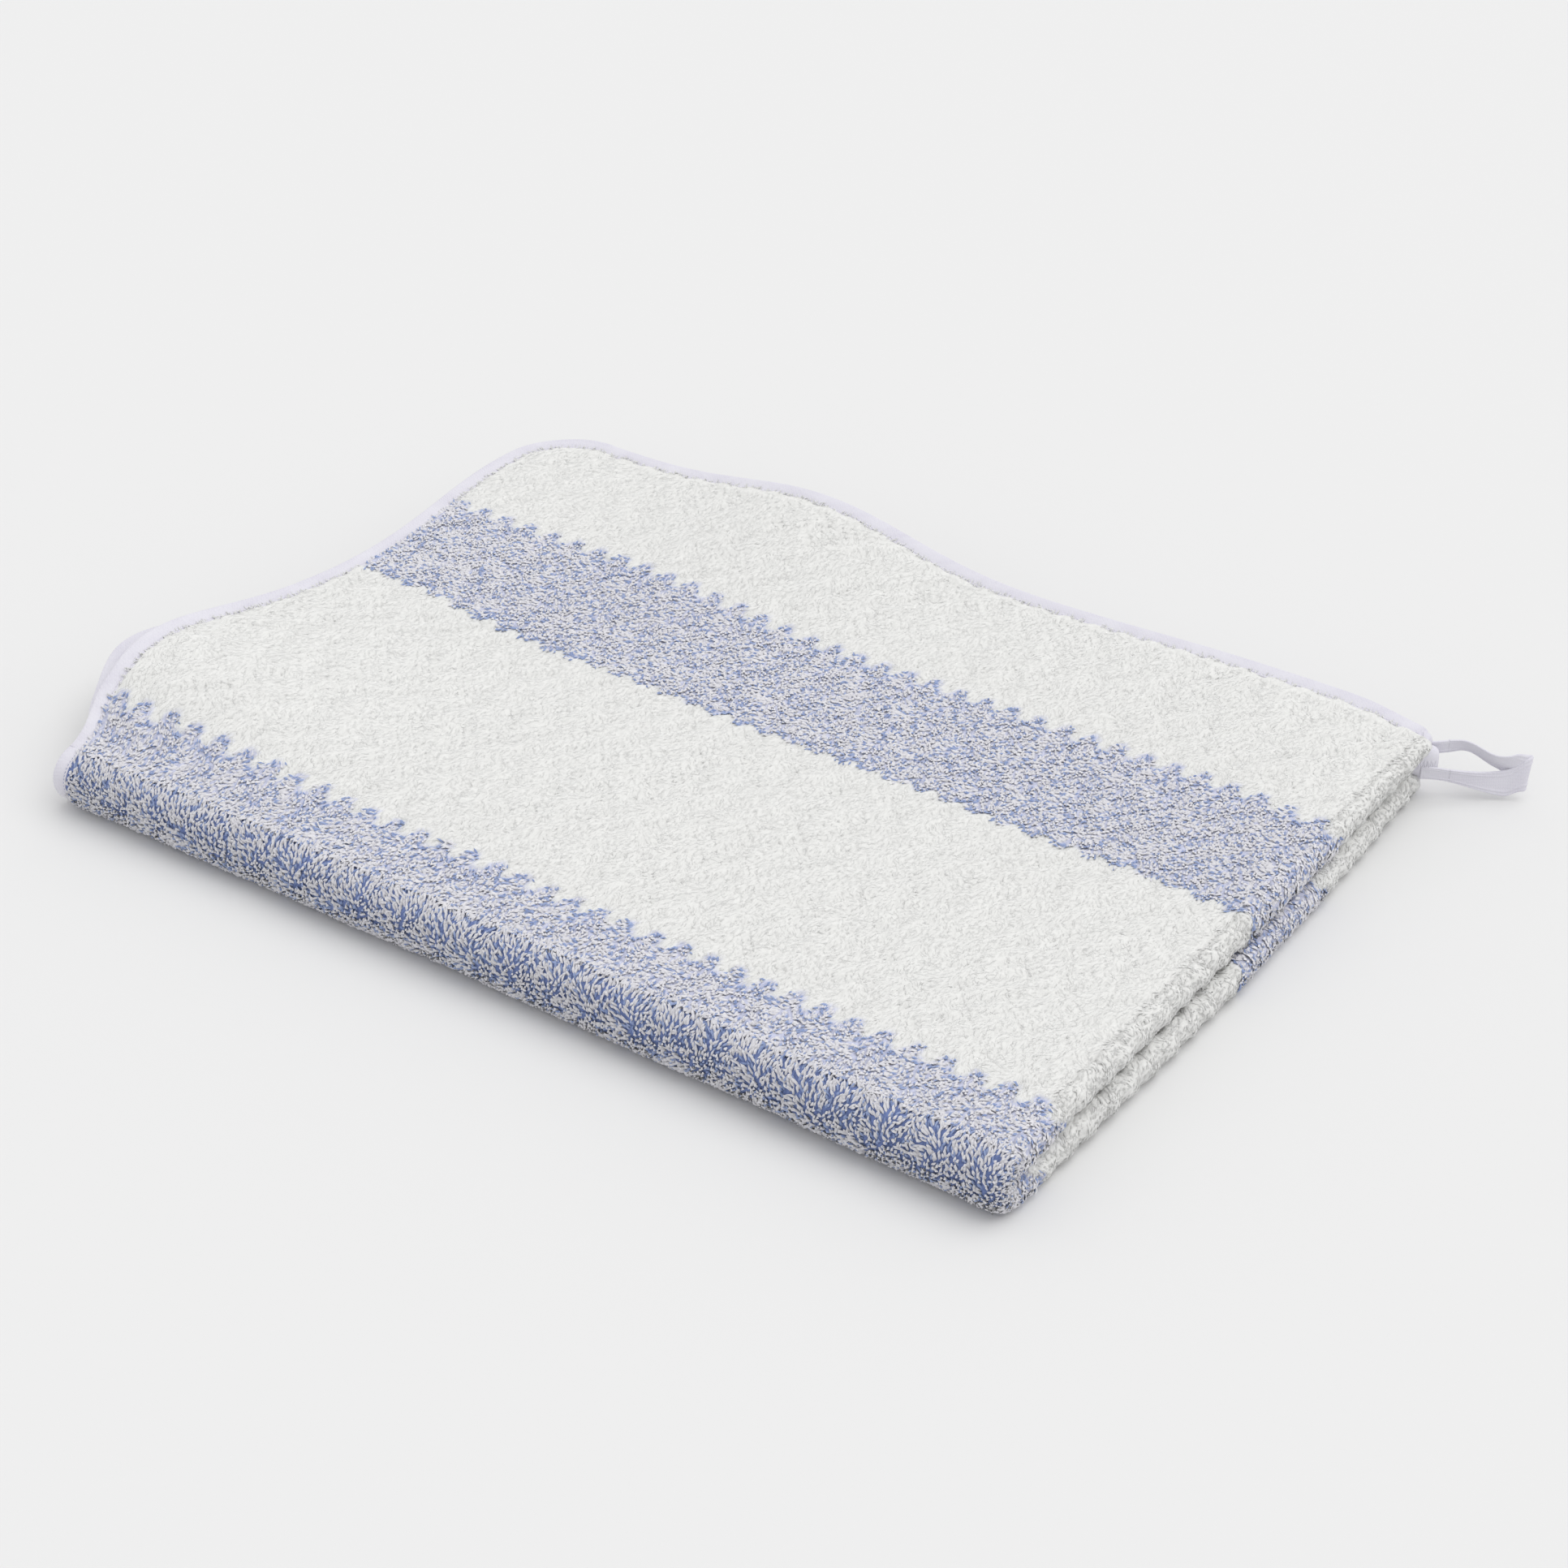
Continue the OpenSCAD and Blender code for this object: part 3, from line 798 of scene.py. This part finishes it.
def tufts_at(a, b, ground, depth_in, zone, gap, splay, rng):
    """The strands' sizes and directions. Each strand has its own length, lean, heading and tone."""
    n = len(a)
    striped = zone == "striped"
    edge_share = np.where(depth_in < EDGE_BAND, EDGE_BLUE, INNER_BLUE)
    is_blue = (rng.uniform(0, 1, n) < edge_share) & striped
    length = rng.normal(1, 0.14, n).clip(0.7, 1.35) * (STRAND_L + gap)
    rise = splay + (PILE_TOP - ground if striped else PLAIN_RISE)
    rise = rise * rng.normal(1, 0.15, n).clip(0.4, 1.6)
    thick = np.where(is_blue, STRAND_W["blue"], STRAND_W["grey"]) if striped else STRAND_W["white"]
    swirl = SWIRL * ripple(a, b, 22 * MM, 31)
    return {
        "a": a, "b": b,
        "lean": np.sqrt(1 - np.clip((rise + ROOT_DEPTH) / length, 0.1, 0.9) ** 2),
        "length": length * np.where(is_blue, 0.9, 1.0),
        "heading": COMBED + swirl + rng.normal(0, 0.5, n),
        "width": rng.uniform(0.85, 1.15, n) * thick * gap,
        "tone": rng.uniform(0, 1, n),
        "own": np.full(n, OWN_SHARE[zone]),
    }, is_blue


def grow(prefix, surface, stripes, ground, a_range, b_range, gap, seed, inside=None, splay=0.0,
         fringe=False):
    """Pile over a range of a surface. stripes gives the depth inside a blue stripe, ground the height
    of the cloth; both are functions of a and b."""
    rng = np.random.default_rng(seed)
    pieces = []
    for zone in ("plain", "striped"):
        a, b = tuft_grid(a_range, b_range, gap, rng)
        depth_in = stripes(a, b) + rng.normal(0, 0.4 * MM, len(a))
        keep = (depth_in > 0) == (zone == "striped")
        if inside is not None:
            keep &= inside(a, b)
        if not keep.any():
            continue
        a, b = a[keep], b[keep]
        tufts, is_blue = tufts_at(a, b, ground(a, b), depth_in[keep], zone, gap, splay, rng)
        if fringe:
            comb_over_seam(a, b, tufts, rng)
        if zone == "plain":
            groups = (("white", white_pile, ~is_blue),)
        else:
            groups = (("grey", grey_pile, ~is_blue), ("blue", blue_pile, is_blue))
        for label, material, chosen in groups:
            name = f"{prefix}_pile_{label}"
            pieces += strand_pieces(name, surface, tufts, ground, chosen, material)
    return pieces


def strand_pieces(name, surface, tufts, ground, chosen, material):
    """Strands of one colour, cut along the stripes into pieces of a handy number of faces."""
    order = np.flatnonzero(chosen)
    order = order[np.argsort(tufts["a"][order], kind="stable")]
    parts = max(1, math.ceil(len(order) / MOST_STRANDS))
    pieces = []
    for k, some in enumerate(np.array_split(order, parts)):
        part = {key: value[some] for key, value in tufts.items()}
        points, faces, tone, normals = strand_mesh(surface, part, ground)
        label = name if parts == 1 else f"{name}_{k + 1}"
        pieces.append(make_piece(label, points, faces, material, tone, normals))
    return pieces


# ---- the four layers

PILE_GAP = {"upper_outer": 1.45 * MM, "upper_inner": 2.2 * MM,
            "lower_inner": 2.2 * MM, "lower_outer": 2.5 * MM}      # between one strand and the next
# How high the dense roots of the pile are drawn; the hidden layers have less room for them.
RAISED = {"upper_outer": 1.0, "upper_inner": 0.4, "lower_inner": 0.4, "lower_outer": 0.0}
# The layers whose pieces get their own copy of their mesh; the height and the share of unevenness listed
# for each are not read.
FLATTEN = {"upper_outer": (22 * MM, 0.2), "upper_inner": (14 * MM, 0.7)}

upper_outer = Layer("upper_outer", 1, lobe=4 * MM, curl=1.6 * MM)
upper_inner = Layer("upper_inner", -1, lobe=20 * MM)
lower_inner = Layer("lower_inner", 1)
lower_outer = Layer("lower_outer", -1)


def body_of(layer):
    return "upper_half" if layer.name.startswith("upper") else "lower_half"


def attach(pieces, layer):
    """Puts pieces on the layer's body; each piece of an upper layer gets its own copy of its mesh."""
    for piece in pieces:
        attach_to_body(piece, body_of(layer))
        if layer.name in FLATTEN:
            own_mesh(piece)


def cloth_heights(a, b, body, raised):
    """Top and back of the ground cloth: thin in the tape, full a little way in."""
    full = ease(tape_w - 1.2 * MM, tape_w + HEM_REACH, edge_distance(a, b))
    top = HEM_H + (ground_height(a, b, body, raised) - HEM_H) * full
    return top, -HEM_H + (BACK_H + HEM_H) * full


def panel_piece(layer, step=2 * MM):
    """The ground cloth of one layer."""
    body = body_of(layer)
    inset = tape_w - CLOTH_IN_TAPE
    straight = np.linspace(panel_y, corner_y, round((corner_y - panel_y) / step))
    turn = np.linspace(0, math.pi / 2, 14)[1:]
    rows_y = np.concatenate([straight, corner_y + (corner_r - inset) * np.sin(turn)])
    starts = edge_x(rows_y, inset)[:, None]
    share = np.linspace(0, 1, round(length / step))
    a = starts + (side_x - starts) * share
    b = np.broadcast_to(rows_y[:, None], a.shape)
    points, faces = slab(layer, a, b, *cloth_heights(a, b, body, RAISED[layer.name]))
    blue = ease(-MM, MM, blue_depth(a.ravel(), b.ravel(), body))
    piece = make_piece(f"{layer.name}_cloth", points, faces, ground_cloth, np.tile(blue, 2))
    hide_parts(layer.name + "_panel")
    return piece


def layer_pile(layer, gap, seed):
    body, raised = body_of(layer), RAISED[layer.name]
    return grow(
        layer.name, layer,
        stripes=lambda a, b: blue_depth(a, b, body),
        ground=lambda a, b: cloth_heights(a, b, body, raised)[0],
        a_range=(left_x, side_x), b_range=(panel_y, rear_y), gap=gap, seed=seed,
        inside=lambda a, b: edge_distance(a, b) > tape_w - 0.5 * MM, fringe=True,
    )


TAPE_TOP = 2.3 * MM             # half the folded tape's thickness
TAPE_T = 1.0 * MM               # thickness of one of its two sides


def tape_profile():
    """Section of the folded edge tape: a soft round outer edge, pinched at the seam."""
    turn = np.linspace(0, math.pi, 9)
    outer_turn = np.column_stack([1.7 * MM * (1 - np.sin(turn)), TAPE_TOP * np.cos(turn)])
    pinch = np.array([
        [tape_w, TAPE_TOP - 0.15 * MM], [SEAM_INSET + 0.7 * MM, TAPE_TOP - 0.1 * MM],
        [SEAM_INSET, TAPE_TOP - 0.5 * MM], [SEAM_INSET - 0.9 * MM, TAPE_TOP - 0.1 * MM],
        [4.2 * MM, TAPE_TOP + 0.1 * MM], [2.8 * MM, TAPE_TOP + 0.05 * MM],
    ])
    inner = TAPE_TOP - TAPE_T
    lining = np.array([[tape_w, -inner], [1.6 * MM, -inner], [1.2 * MM, 0], [1.6 * MM, inner],
                       [tape_w, inner]])
    return np.vstack([pinch, outer_turn, pinch[::-1] * [1, -1], lining])


RIB_PITCH = 1.7 * MM
RIB_H = 0.14 * MM


def ribbed(place_edge, surface):
    """Places a section along an edge, with the tape's fine cross ribs."""
    def place(s, inset, h):
        rib = RIB_H * np.sin(TAU * (s + 0.35 * inset) / RIB_PITCH)
        outside = (np.abs(h) > TAPE_TOP - 0.6 * MM) | (inset < 1.1 * MM)
        lift = np.where(outside, rib, 0) * np.sign(h)
        pucker = 0.25 * MM * ripple(s, inset * 0, 9 * MM, 41)
        a, b = place_edge(s, inset + pucker * ease(0, 8 * MM, inset))
        return surface.place(a, b, h + lift)
    return place


def tape_piece(name, place_edge, surface, s_range, node):
    stations = np.arange(s_range[0], s_range[1] + 0.2 * MM, 0.45 * MM)
    stations = np.minimum(stations, s_range[1])
    shape = sweep(ribbed(place_edge, surface), stations, tape_profile())
    piece = make_piece(name, *shape, tape_cloth)
    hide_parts(node)
    return piece


STITCH_PITCH = 2.9 * MM
STITCH_L, STITCH_R = 1.15 * MM, 0.36 * MM       # half a stitch's length, and its thread's radius
STITCH_H = TAPE_TOP - 0.3 * MM                  # how high the seam lies on both faces of the tape


def stitch_piece(name, place_edge, surface, s_range, h, node=None):
    """A row of stitches: short rounded bars of thread, a little sunk into the tape."""
    count = int((s_range[1] - s_range[0]) / STITCH_PITCH)
    centres = s_range[0] + (np.arange(count) + 0.5) * STITCH_PITCH
    t = np.linspace(-1, 1, 5)
    around = np.arange(6) / 6 * TAU
    thick = STITCH_R * np.sqrt(1 - 0.8 * t ** 2)
    s = centres[:, None, None] + (STITCH_L * t)[None, :, None] + 0 * around[None, None, :]
    inset = SEAM_INSET + (thick[:, None] * np.cos(around))[None] + 0 * s
    up = (h + thick[:, None] * np.sin(around) - 0.25 * MM * (t ** 2)[:, None])[None] + 0 * s
    a, b = place_edge(s.ravel(), inset.ravel())
    points = surface.place(a, b, up.ravel())
    start = (np.arange(count) * len(t) * len(around))[:, None, None]
    faces = [(start + group).reshape(-1, group.shape[1]) for group in tube_faces(len(t), len(around))]
    piece = make_piece(name, points, faces, thread)
    if node:
        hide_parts(node)
    return piece


for number, layer in enumerate((upper_outer, upper_inner, lower_inner, lower_outer)):
    parts = [panel_piece(layer)]
    parts += layer_pile(layer, PILE_GAP[layer.name], 100 + number)
    parts.append(tape_piece(layer.name + "_tape", rim, layer, (0, RIM_L), layer.name + "_binding"))
    seam = layer.name + "_stitching"
    parts.append(stitch_piece(seam + "_front", rim, layer, (0, RIM_L), STITCH_H, seam))
    parts.append(stitch_piece(seam + "_back", rim, layer, (0, RIM_L), -STITCH_H))
    attach(parts, layer)

# ---- folds

FOLD_STEP = 2 * MM
FRONT_H = 2.0 * MM              # top of the ground cloth round the front fold
SCALLOP_PITCH = 7.5 * MM        # the rows of the knit stand out one by one along a side fold
SCALLOP_H = 1.0 * MM


def fold_grid(a_range, b_range):
    """Evenly spaced points over a fold, the last ones on its far ends."""
    a_count = max(8, round((a_range[1] - a_range[0]) / FOLD_STEP))
    b_count = max(8, round((b_range[1] - b_range[0]) / FOLD_STEP))
    return np.meshgrid(np.linspace(*a_range, a_count), np.linspace(*b_range, b_count))


def fold_cloth(name, surface, grid, top, blue, node, material):
    """Ground cloth round a fold; blue is 1 inside a stripe."""
    points, faces = slab(surface, *grid, top, BACK_H)
    tone = np.broadcast_to(blue, grid[0].shape).ravel()
    piece = make_piece(name, points, faces, material, np.tile(tone, 2))
    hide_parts(node)
    return piece


def side_pieces(name, body, seed):
    """Cloth, pile and turned tape of one side fold, which carries the stripes round."""
    low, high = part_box(name)
    surface = SideBend((low.z + high.z) / 2)
    side_end = rear_y - tape_w
    grid = fold_grid((0, surface.arc), (panel_y, side_end))

    def ground(a, b):
        scallop = SCALLOP_H * np.sqrt(np.abs(np.sin(math.pi * b / SCALLOP_PITCH)))
        return ground_height(side_x + a, b, body, 1) + scallop - SCALLOP_H / 2

    def stripes(a, b):
        return blue_depth(side_x + a, b, body)

    blue = ease(-MM, MM, stripes(*grid))
    parts = [fold_cloth(name + "_cloth", surface, grid, ground(*grid), blue, name, ground_cloth)]
    parts += grow(name, surface, stripes, ground, (-MM, surface.arc + MM), (panel_y - MM, side_end),
                  1.3 * MM, seed, splay=0.2 * MM)

    def edge(s, inset):
        return s, rear_y - inset

    turn = name.replace("fold", "turn")
    parts.append(tape_piece(turn + "_tape", edge, surface, (0, surface.arc), turn + "_binding"))
    for part in parts:
        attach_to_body(part, body)


side_pieces("upper_side_fold", "upper_half", 201)
side_pieces("lower_side_fold", "lower_half", 202)


def bend_with_fold(pieces):
    """Bakes the placement of each piece of the front fold into its mesh."""
    for piece in pieces:
        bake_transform(piece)


def all_blue(a, b):
    """The whole front fold is inside the first stripe."""
    return np.full(len(a), STRIPE_W / 2)


def front_ground(a, b):
    return np.full(len(a), FRONT_H)


def front_edge(s, inset):
    """The left edge of the front fold; s runs round the fold."""
    return left_x + inset, s


def front_pieces(label, surface, gap, seed):
    """Cloth, pile and turned tape of one of the two bends of the front fold."""
    name, turn = f"front_fold_{label}", f"front_{label}_turn"
    grid = fold_grid((left_x + tape_w - CLOTH_IN_TAPE, side_x), (0, surface.arc))
    parts = [fold_cloth(name + "_cloth", surface, grid, FRONT_H, 1.0, name, ground_blue)]
    parts += grow(name, surface, all_blue, front_ground, (left_x + tape_w, side_x),
                  (-MM, surface.arc + MM), gap, seed)
    parts.append(tape_piece(turn + "_tape", front_edge, surface, (0, surface.arc), turn + "_binding"))
    bend_with_fold(parts)


def corner_pieces(surface, gap, seed):
    """Cloth and pile of the corner where the side folds run round the front fold."""
    grid = fold_grid((0, surface.arc_a), (0, surface.arc_b))
    parts = [fold_cloth("front_corner_cloth", surface, grid, FRONT_H, 1.0, "front_corner_fold",
                        ground_blue)]
    parts += grow("front_corner", surface, all_blue, front_ground, (-MM, surface.arc_a + MM),
                  (-MM, surface.arc_b + MM), gap, seed)
    bend_with_fold(parts)


front_pieces("outer", FrontBend(outer_bend_r, 1), 1.5 * MM, 301)
front_pieces("inner", FrontBend(small_bend_r, -1), 2.0 * MM, 302)
corner_pieces(CornerBend(), 1.2 * MM, 303)

# ---- hood

HOOD_INSET = 2 * MM             # from the towel's edge to the hood's cloth, inside the tape
hood_low, hood_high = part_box("hood_panel")
hood_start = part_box("hood_edge_binding")[0].y
hood_leg = rear_y - hood_start
hood_l = hood_leg * math.sqrt(2)
hood = Flat((hood_low.z + hood_high.z) / 2)


def hood_edge(s, inset):
    """The hood's slanted edge, from the left leg to the rear leg."""
    diagonal = math.sqrt(0.5)
    return left_x + (s - inset) * diagonal, hood_start + (s + inset) * diagonal


def hood_grid(count=56):
    """Points over the hood's triangle, row by row from the towel's left edge to its slanted edge."""
    inset = tape_w - CLOTH_IN_TAPE
    rows_y = np.linspace(hood_start + 2.5 * inset, rear_y - HOOD_INSET, count)
    row_start = edge_x(rows_y, HOOD_INSET)[:, None]
    row_end = (left_x + rows_y - hood_start - inset * math.sqrt(2))[:, None]
    a = row_start + (row_end - row_start) * np.linspace(0, 1, count)
    return a, np.broadcast_to(rows_y[:, None], a.shape)


def on_hood(a, b):
    from_corner = (a - left_x) + (rear_y - b)
    return (from_corner < hood_leg - tape_w * math.sqrt(2)) & (edge_distance(a, b) > 3 * MM)


def hood_stripes(a, b):
    """The hood is all white."""
    return np.full(len(a), -STRIPE_W)


def hood_pieces():
    """The hood's cloth, its pile, and the tape and seam of its slanted edge."""
    points, faces = slab(hood, *hood_grid(), 0.0, hood_low.z - hood.z)
    cloth = make_piece("hood_cloth", points, faces, ground_cloth, np.zeros(len(points)))
    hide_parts("hood_panel")
    parts = [cloth]
    parts += grow("hood", hood, hood_stripes, lambda a, b: 0 * a, (left_x, left_x + hood_leg),
                  (hood_start, rear_y), 2.3 * MM, 401, inside=on_hood)
    parts.append(tape_piece("hood_tape", hood_edge, hood, (9 * MM, hood_l - 9 * MM),
                            "hood_edge_binding"))
    parts.append(stitch_piece("hood_stitching_front", hood_edge, hood, (11 * MM, hood_l - 11 * MM),
                              STITCH_H, "hood_stitching"))
    for part in parts:
        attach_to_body(part, "lower_half")


hood_pieces()

# ---- hanging loop

LOOP_L = 36 * MM
LOOP_ROOT_L = 13 * MM           # the legs run on behind the hinge this far, to the tape they are sewn to
LOOP_T = 1.0 * MM
LOOP_HALF_W = (3.4 * MM, 8.2 * MM)      # the tape is folded at the root and opens towards the tip
LOOP_ROUND = 1.2                # how fast the path leaves the loop's tip; 1 is a sharp turn
SLEEVE_U, SLEEVE_V, SLEEVE_Z = -12 * MM, -1 * MM, -2.4 * MM     # middle of the sleeve
SLEEVE_REACH = 7 * MM           # half its length
loop_joint = next(joint for joint in frame["joints"] if joint["name"] == "loop_flex")
loop_root = np.array(loop_joint["pos_m"])
loop_side = np.array(loop_joint["axis"])
loop_ahead = np.cross(loop_side, (0, 0, 1))


def loop_point(u, v, z):
    """A point from the loop's own frame: u along the loop, v across it, z up, from its hinge."""
    return loop_root + np.outer(u, loop_ahead) + np.outer(v, loop_side) + np.outer(z, (0, 0, 1))


def loop_path(t):
    """The middle of the tape, how much of it is the far leg, and how near the tip it is, from 0 to 1.
    t is -1 at the near leg's root, 0 at the tip and 1 at the far leg's root."""
    whole = LOOP_L + LOOP_ROOT_L
    u = LOOP_L - whole * np.abs(t) ** LOOP_ROUND
    s = u / LOOP_L
    far = 0.5 + 0.5 * np.tanh(t * 7)
    turn = np.tanh(t * 30) * (LOOP_T / 2 + 0.3 * MM)
    near_v = (-4.5 + 2.2 * ease(0, 1, s)) * MM
    near_z = (-6.5 - 5.8 * ease(-0.3, 0.75, s) + 4 * ease(0.72, 1, s)) * MM
    far_bulge = 3 * np.sin(math.pi * np.clip((s + 0.3) / 1.1, 0, 1)) ** 2
    far_v = (2.5 + far_bulge - 4.8 * ease(0.3, 0.75, s)) * MM
    far_z = (1.5 - 4.6 * ease(0.15, 0.6, s) - 3.4 * ease(0.78, 1, s)) * MM
    v = near_v * (1 - far) + far_v * far + turn
    z = near_z * (1 - far) + far_z * far
    return u, v, z, far, np.clip(s, 0, 1)


def loop_section():
    """The tape's section as (half thickness, height share): two raised cords run near each edge."""
    height = np.linspace(-1, 1, 41)
    cords = sum(np.exp(-((np.abs(height) - place) / 0.07) ** 2) for place in (0.62, 0.88))
    edge = np.sqrt(np.clip(1 - np.abs(height) ** 14, 0, 1))
    thick = (LOOP_T / 2 + 0.3 * MM * cords) * edge
    return np.vstack([np.column_stack([thick, height]), np.column_stack([-thick[::-1], height[::-1]])])


def loop_leg(t, fullness=1.0):
    """Points and faces of the tape along a part of its path. Each leg leans its own way."""
    u, v, z, far, s = loop_path(t)
    low_w, high_w = LOOP_HALF_W
    half = low_w + (high_w - low_w) * s ** 1.4
    near_tilt, far_tilt = 20 * s, 20 * s ** 4 - 38 * np.sin(math.pi * s)
    tilt = np.radians(near_tilt * (1 - far) + far_tilt * far)
    run_u, run_v = np.gradient(u), np.gradient(v)
    run = np.hypot(run_u, run_v)
    out_u, out_v = -run_v / run, run_u / run
    thick, share = loop_section().T * fullness
    width = half[:, None] * share[None]
    slant = -0.16 * s[:, None] ** 2 * width
    all_u = u[:, None] + out_u[:, None] * thick[None] - slant
    all_v = v[:, None] + out_v[:, None] * thick[None] + np.sin(tilt)[:, None] * width
    all_z = z[:, None] + np.cos(tilt)[:, None] * width
    return loop_point(all_u.ravel(), all_v.ravel(), all_z.ravel()), tube_faces(len(t), len(share))


def joined(parts):
    """One list of points and one of faces from several."""
    points, faces, start = [], [], 0
    for part_points, part_faces in parts:
        points.append(part_points)
        faces += [group + start for group in part_faces]
        start += len(part_points)
    return np.vstack(points), faces


def sleeve_half(u):
    """Half sizes across v and z of the folded tape that wraps both roots of the loop."""
    swell = np.sqrt(np.clip(1 - ((u - SLEEVE_U) / SLEEVE_REACH) ** 2, 0.02, 1))
    return (2.0 + 2.6 * swell) * MM, (4.2 + 3.4 * swell) * MM


def squarish(wave):
    """A sine or cosine with fuller shoulders, for a section between round and square."""
    return np.sign(wave) * np.abs(wave) ** 0.7


def loop_sleeve():
    """The folded end of tape the loop is sewn into, a soft lump round both its roots."""
    u = SLEEVE_U - (SLEEVE_REACH - 0.1 * MM) * np.cos(np.linspace(0, math.pi, 30))
    around = np.arange(48) / 48 * TAU
    half_v, half_z = sleeve_half(u)
    rib = 1 + 0.03 * np.cos(around[None] * 3 + u[:, None] / RIB_PITCH)
    v = SLEEVE_V + half_v[:, None] * squarish(np.cos(around)) * rib
    z = SLEEVE_Z + half_z[:, None] * squarish(np.sin(around)) * rib
    points = loop_point(np.repeat(u, len(around)), v.ravel(), z.ravel())
    return points, tube_faces(len(u), len(around))


def loop_stitches():
    """Close stitches across the near and the far face of the sleeve, in a slanted row."""
    t = np.linspace(-1, 1, 9)
    around = np.arange(6) / 6 * TAU
    radius = 0.3 * MM * np.sqrt(1 - 0.85 * t ** 2)
    faces = tube_faces(len(t), len(around))
    bars = []
    for face in (-1, 1):
        for k in range(9):
            u = (-14 + 0.9 * k) * MM
            half_v, _ = sleeve_half(np.array([u]))
            lean = (-1 if k % 2 else 1) * 0.4 * MM * t[:, None]
            bar_u = u + lean + radius[:, None] * np.cos(around)[None]
            bar_v = SLEEVE_V + face * half_v + radius[:, None] * np.sin(around)[None]
            bar_z = SLEEVE_Z + (2.2 * MM * t)[:, None] + 0 * bar_u
            bars.append((loop_point(bar_u.ravel(), bar_v.ravel(), bar_z.ravel()), faces))
    return joined(bars)


def loop_pieces():
    """The loop beyond its hinge, the roots of both legs, and the sleeve round them with its stitches."""
    hinge_t = (LOOP_L / (LOOP_L + LOOP_ROOT_L)) ** (1 / LOOP_ROUND)
    loop = make_piece("hanging_loop_tape", *loop_leg(np.linspace(-hinge_t, hinge_t, 161)), tape_cloth)
    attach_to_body(loop, "hanging_loop")
    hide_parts("hanging_loop")
    inside_t = 0.96 * hinge_t
    legs = [loop_leg(np.linspace(*ends, 24), 0.96) for ends in ((-1, -inside_t), (inside_t, 1))]
    root = make_piece("loop_root", *joined(legs), tape_cloth)
    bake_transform(root)
    sleeve = make_piece("loop_sleeve", *loop_sleeve(), tape_cloth)
    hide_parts("loop_root_tab")
    tack = make_piece("loop_stitches", *loop_stitches(), thread)
    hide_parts("loop_bartack")
    for piece in (sleeve, tack):
        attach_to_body(piece, "upper_half")


loop_pieces()

# ---- care label


def label_piece():
    """A blank satin label between the lower layers, with folded-under ends and a slight curl."""
    low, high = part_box("care_label")
    u, v = np.meshgrid(np.linspace(0, 1, 46), np.linspace(0, 1, 24))
    a = low.x + (high.x - low.x) * u
    b = low.y + (high.y - low.y) * v
    middle = high.z - 0.3 * MM - (high.z - low.z - 0.5 * MM) * (1 - ease(0.02, 0.2, u))
    curl = 0.12 * MM * np.sin(math.pi * v) + 0.06 * MM * np.sin(TAU * u * 3)
    hem = 0.09 * MM * (1 - ease(0.03, 0.05, np.minimum(v, 1 - v)))
    half = 0.16 * MM + hem
    upper = np.column_stack([a.ravel(), b.ravel(), (middle + curl + half).ravel()])
    lower = np.column_stack([a.ravel(), b.ravel(), (middle + curl - half).ravel()])
    rows, cols = a.shape
    piece = make_piece("care_label_satin", *closed_sheet(upper, lower, rows, cols), satin)
    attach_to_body(piece, "lower_half")
    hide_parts("care_label")


label_piece()

# ---- stage, light and camera


def stage_floor():
    material, tree, shader = node_material("floor_paint")
    set_inputs(tree, shader, {"Base Color": (0.73, 0.73, 0.73, 1), "Roughness": 0.9})
    bpy.ops.mesh.primitive_plane_add(size=30)
    floor = bpy.context.object
    floor.name = "floor"
    floor.data.materials.append(material)


def studio_light():
    world = bpy.data.worlds.new("studio")
    bpy.context.scene.world = world
    world.use_nodes = True
    backdrop = world.node_tree.nodes["Background"]
    set_inputs(world.node_tree, backdrop, {"Color": (1, 1, 1, 1), "Strength": 0.87})
    light = bpy.data.lights.new("window", "SUN")
    light.energy = 1.04
    light.angle = math.radians(60)
    lamp = bpy.data.objects.new("window", light)
    lamp.rotation_euler = Vector((0.35, 0.35, 1.2)).to_track_quat("Z", "Y").to_euler()
    bpy.context.scene.collection.objects.link(lamp)


VIEW_AZIMUTH = math.radians(35.5)       # round to the right of the towel's front
VIEW_ELEVATION = math.radians(33.2)
VIEW_PLACE = (0.655, -0.887, 0.726)
LENS_MM, FILM_MM = 66.8, 36


def photo_camera():
    """The view fitted to the photo."""
    flat = math.cos(VIEW_ELEVATION)
    back = Vector((math.sin(VIEW_AZIMUTH) * flat, -math.cos(VIEW_AZIMUTH) * flat,
                   math.sin(VIEW_ELEVATION)))
    lens = bpy.data.cameras.new("photo_camera")
    lens.lens = LENS_MM
    lens.sensor_width = FILM_MM
    camera = bpy.data.objects.new("photo_camera", lens)
    camera.location = VIEW_PLACE
    camera.rotation_euler = back.to_track_quat("Z", "Y").to_euler()
    bpy.context.scene.collection.objects.link(camera)
    bpy.context.scene.camera = camera


stage_floor()
studio_light()
photo_camera()
bpy.context.scene.view_settings.view_transform = "Standard"
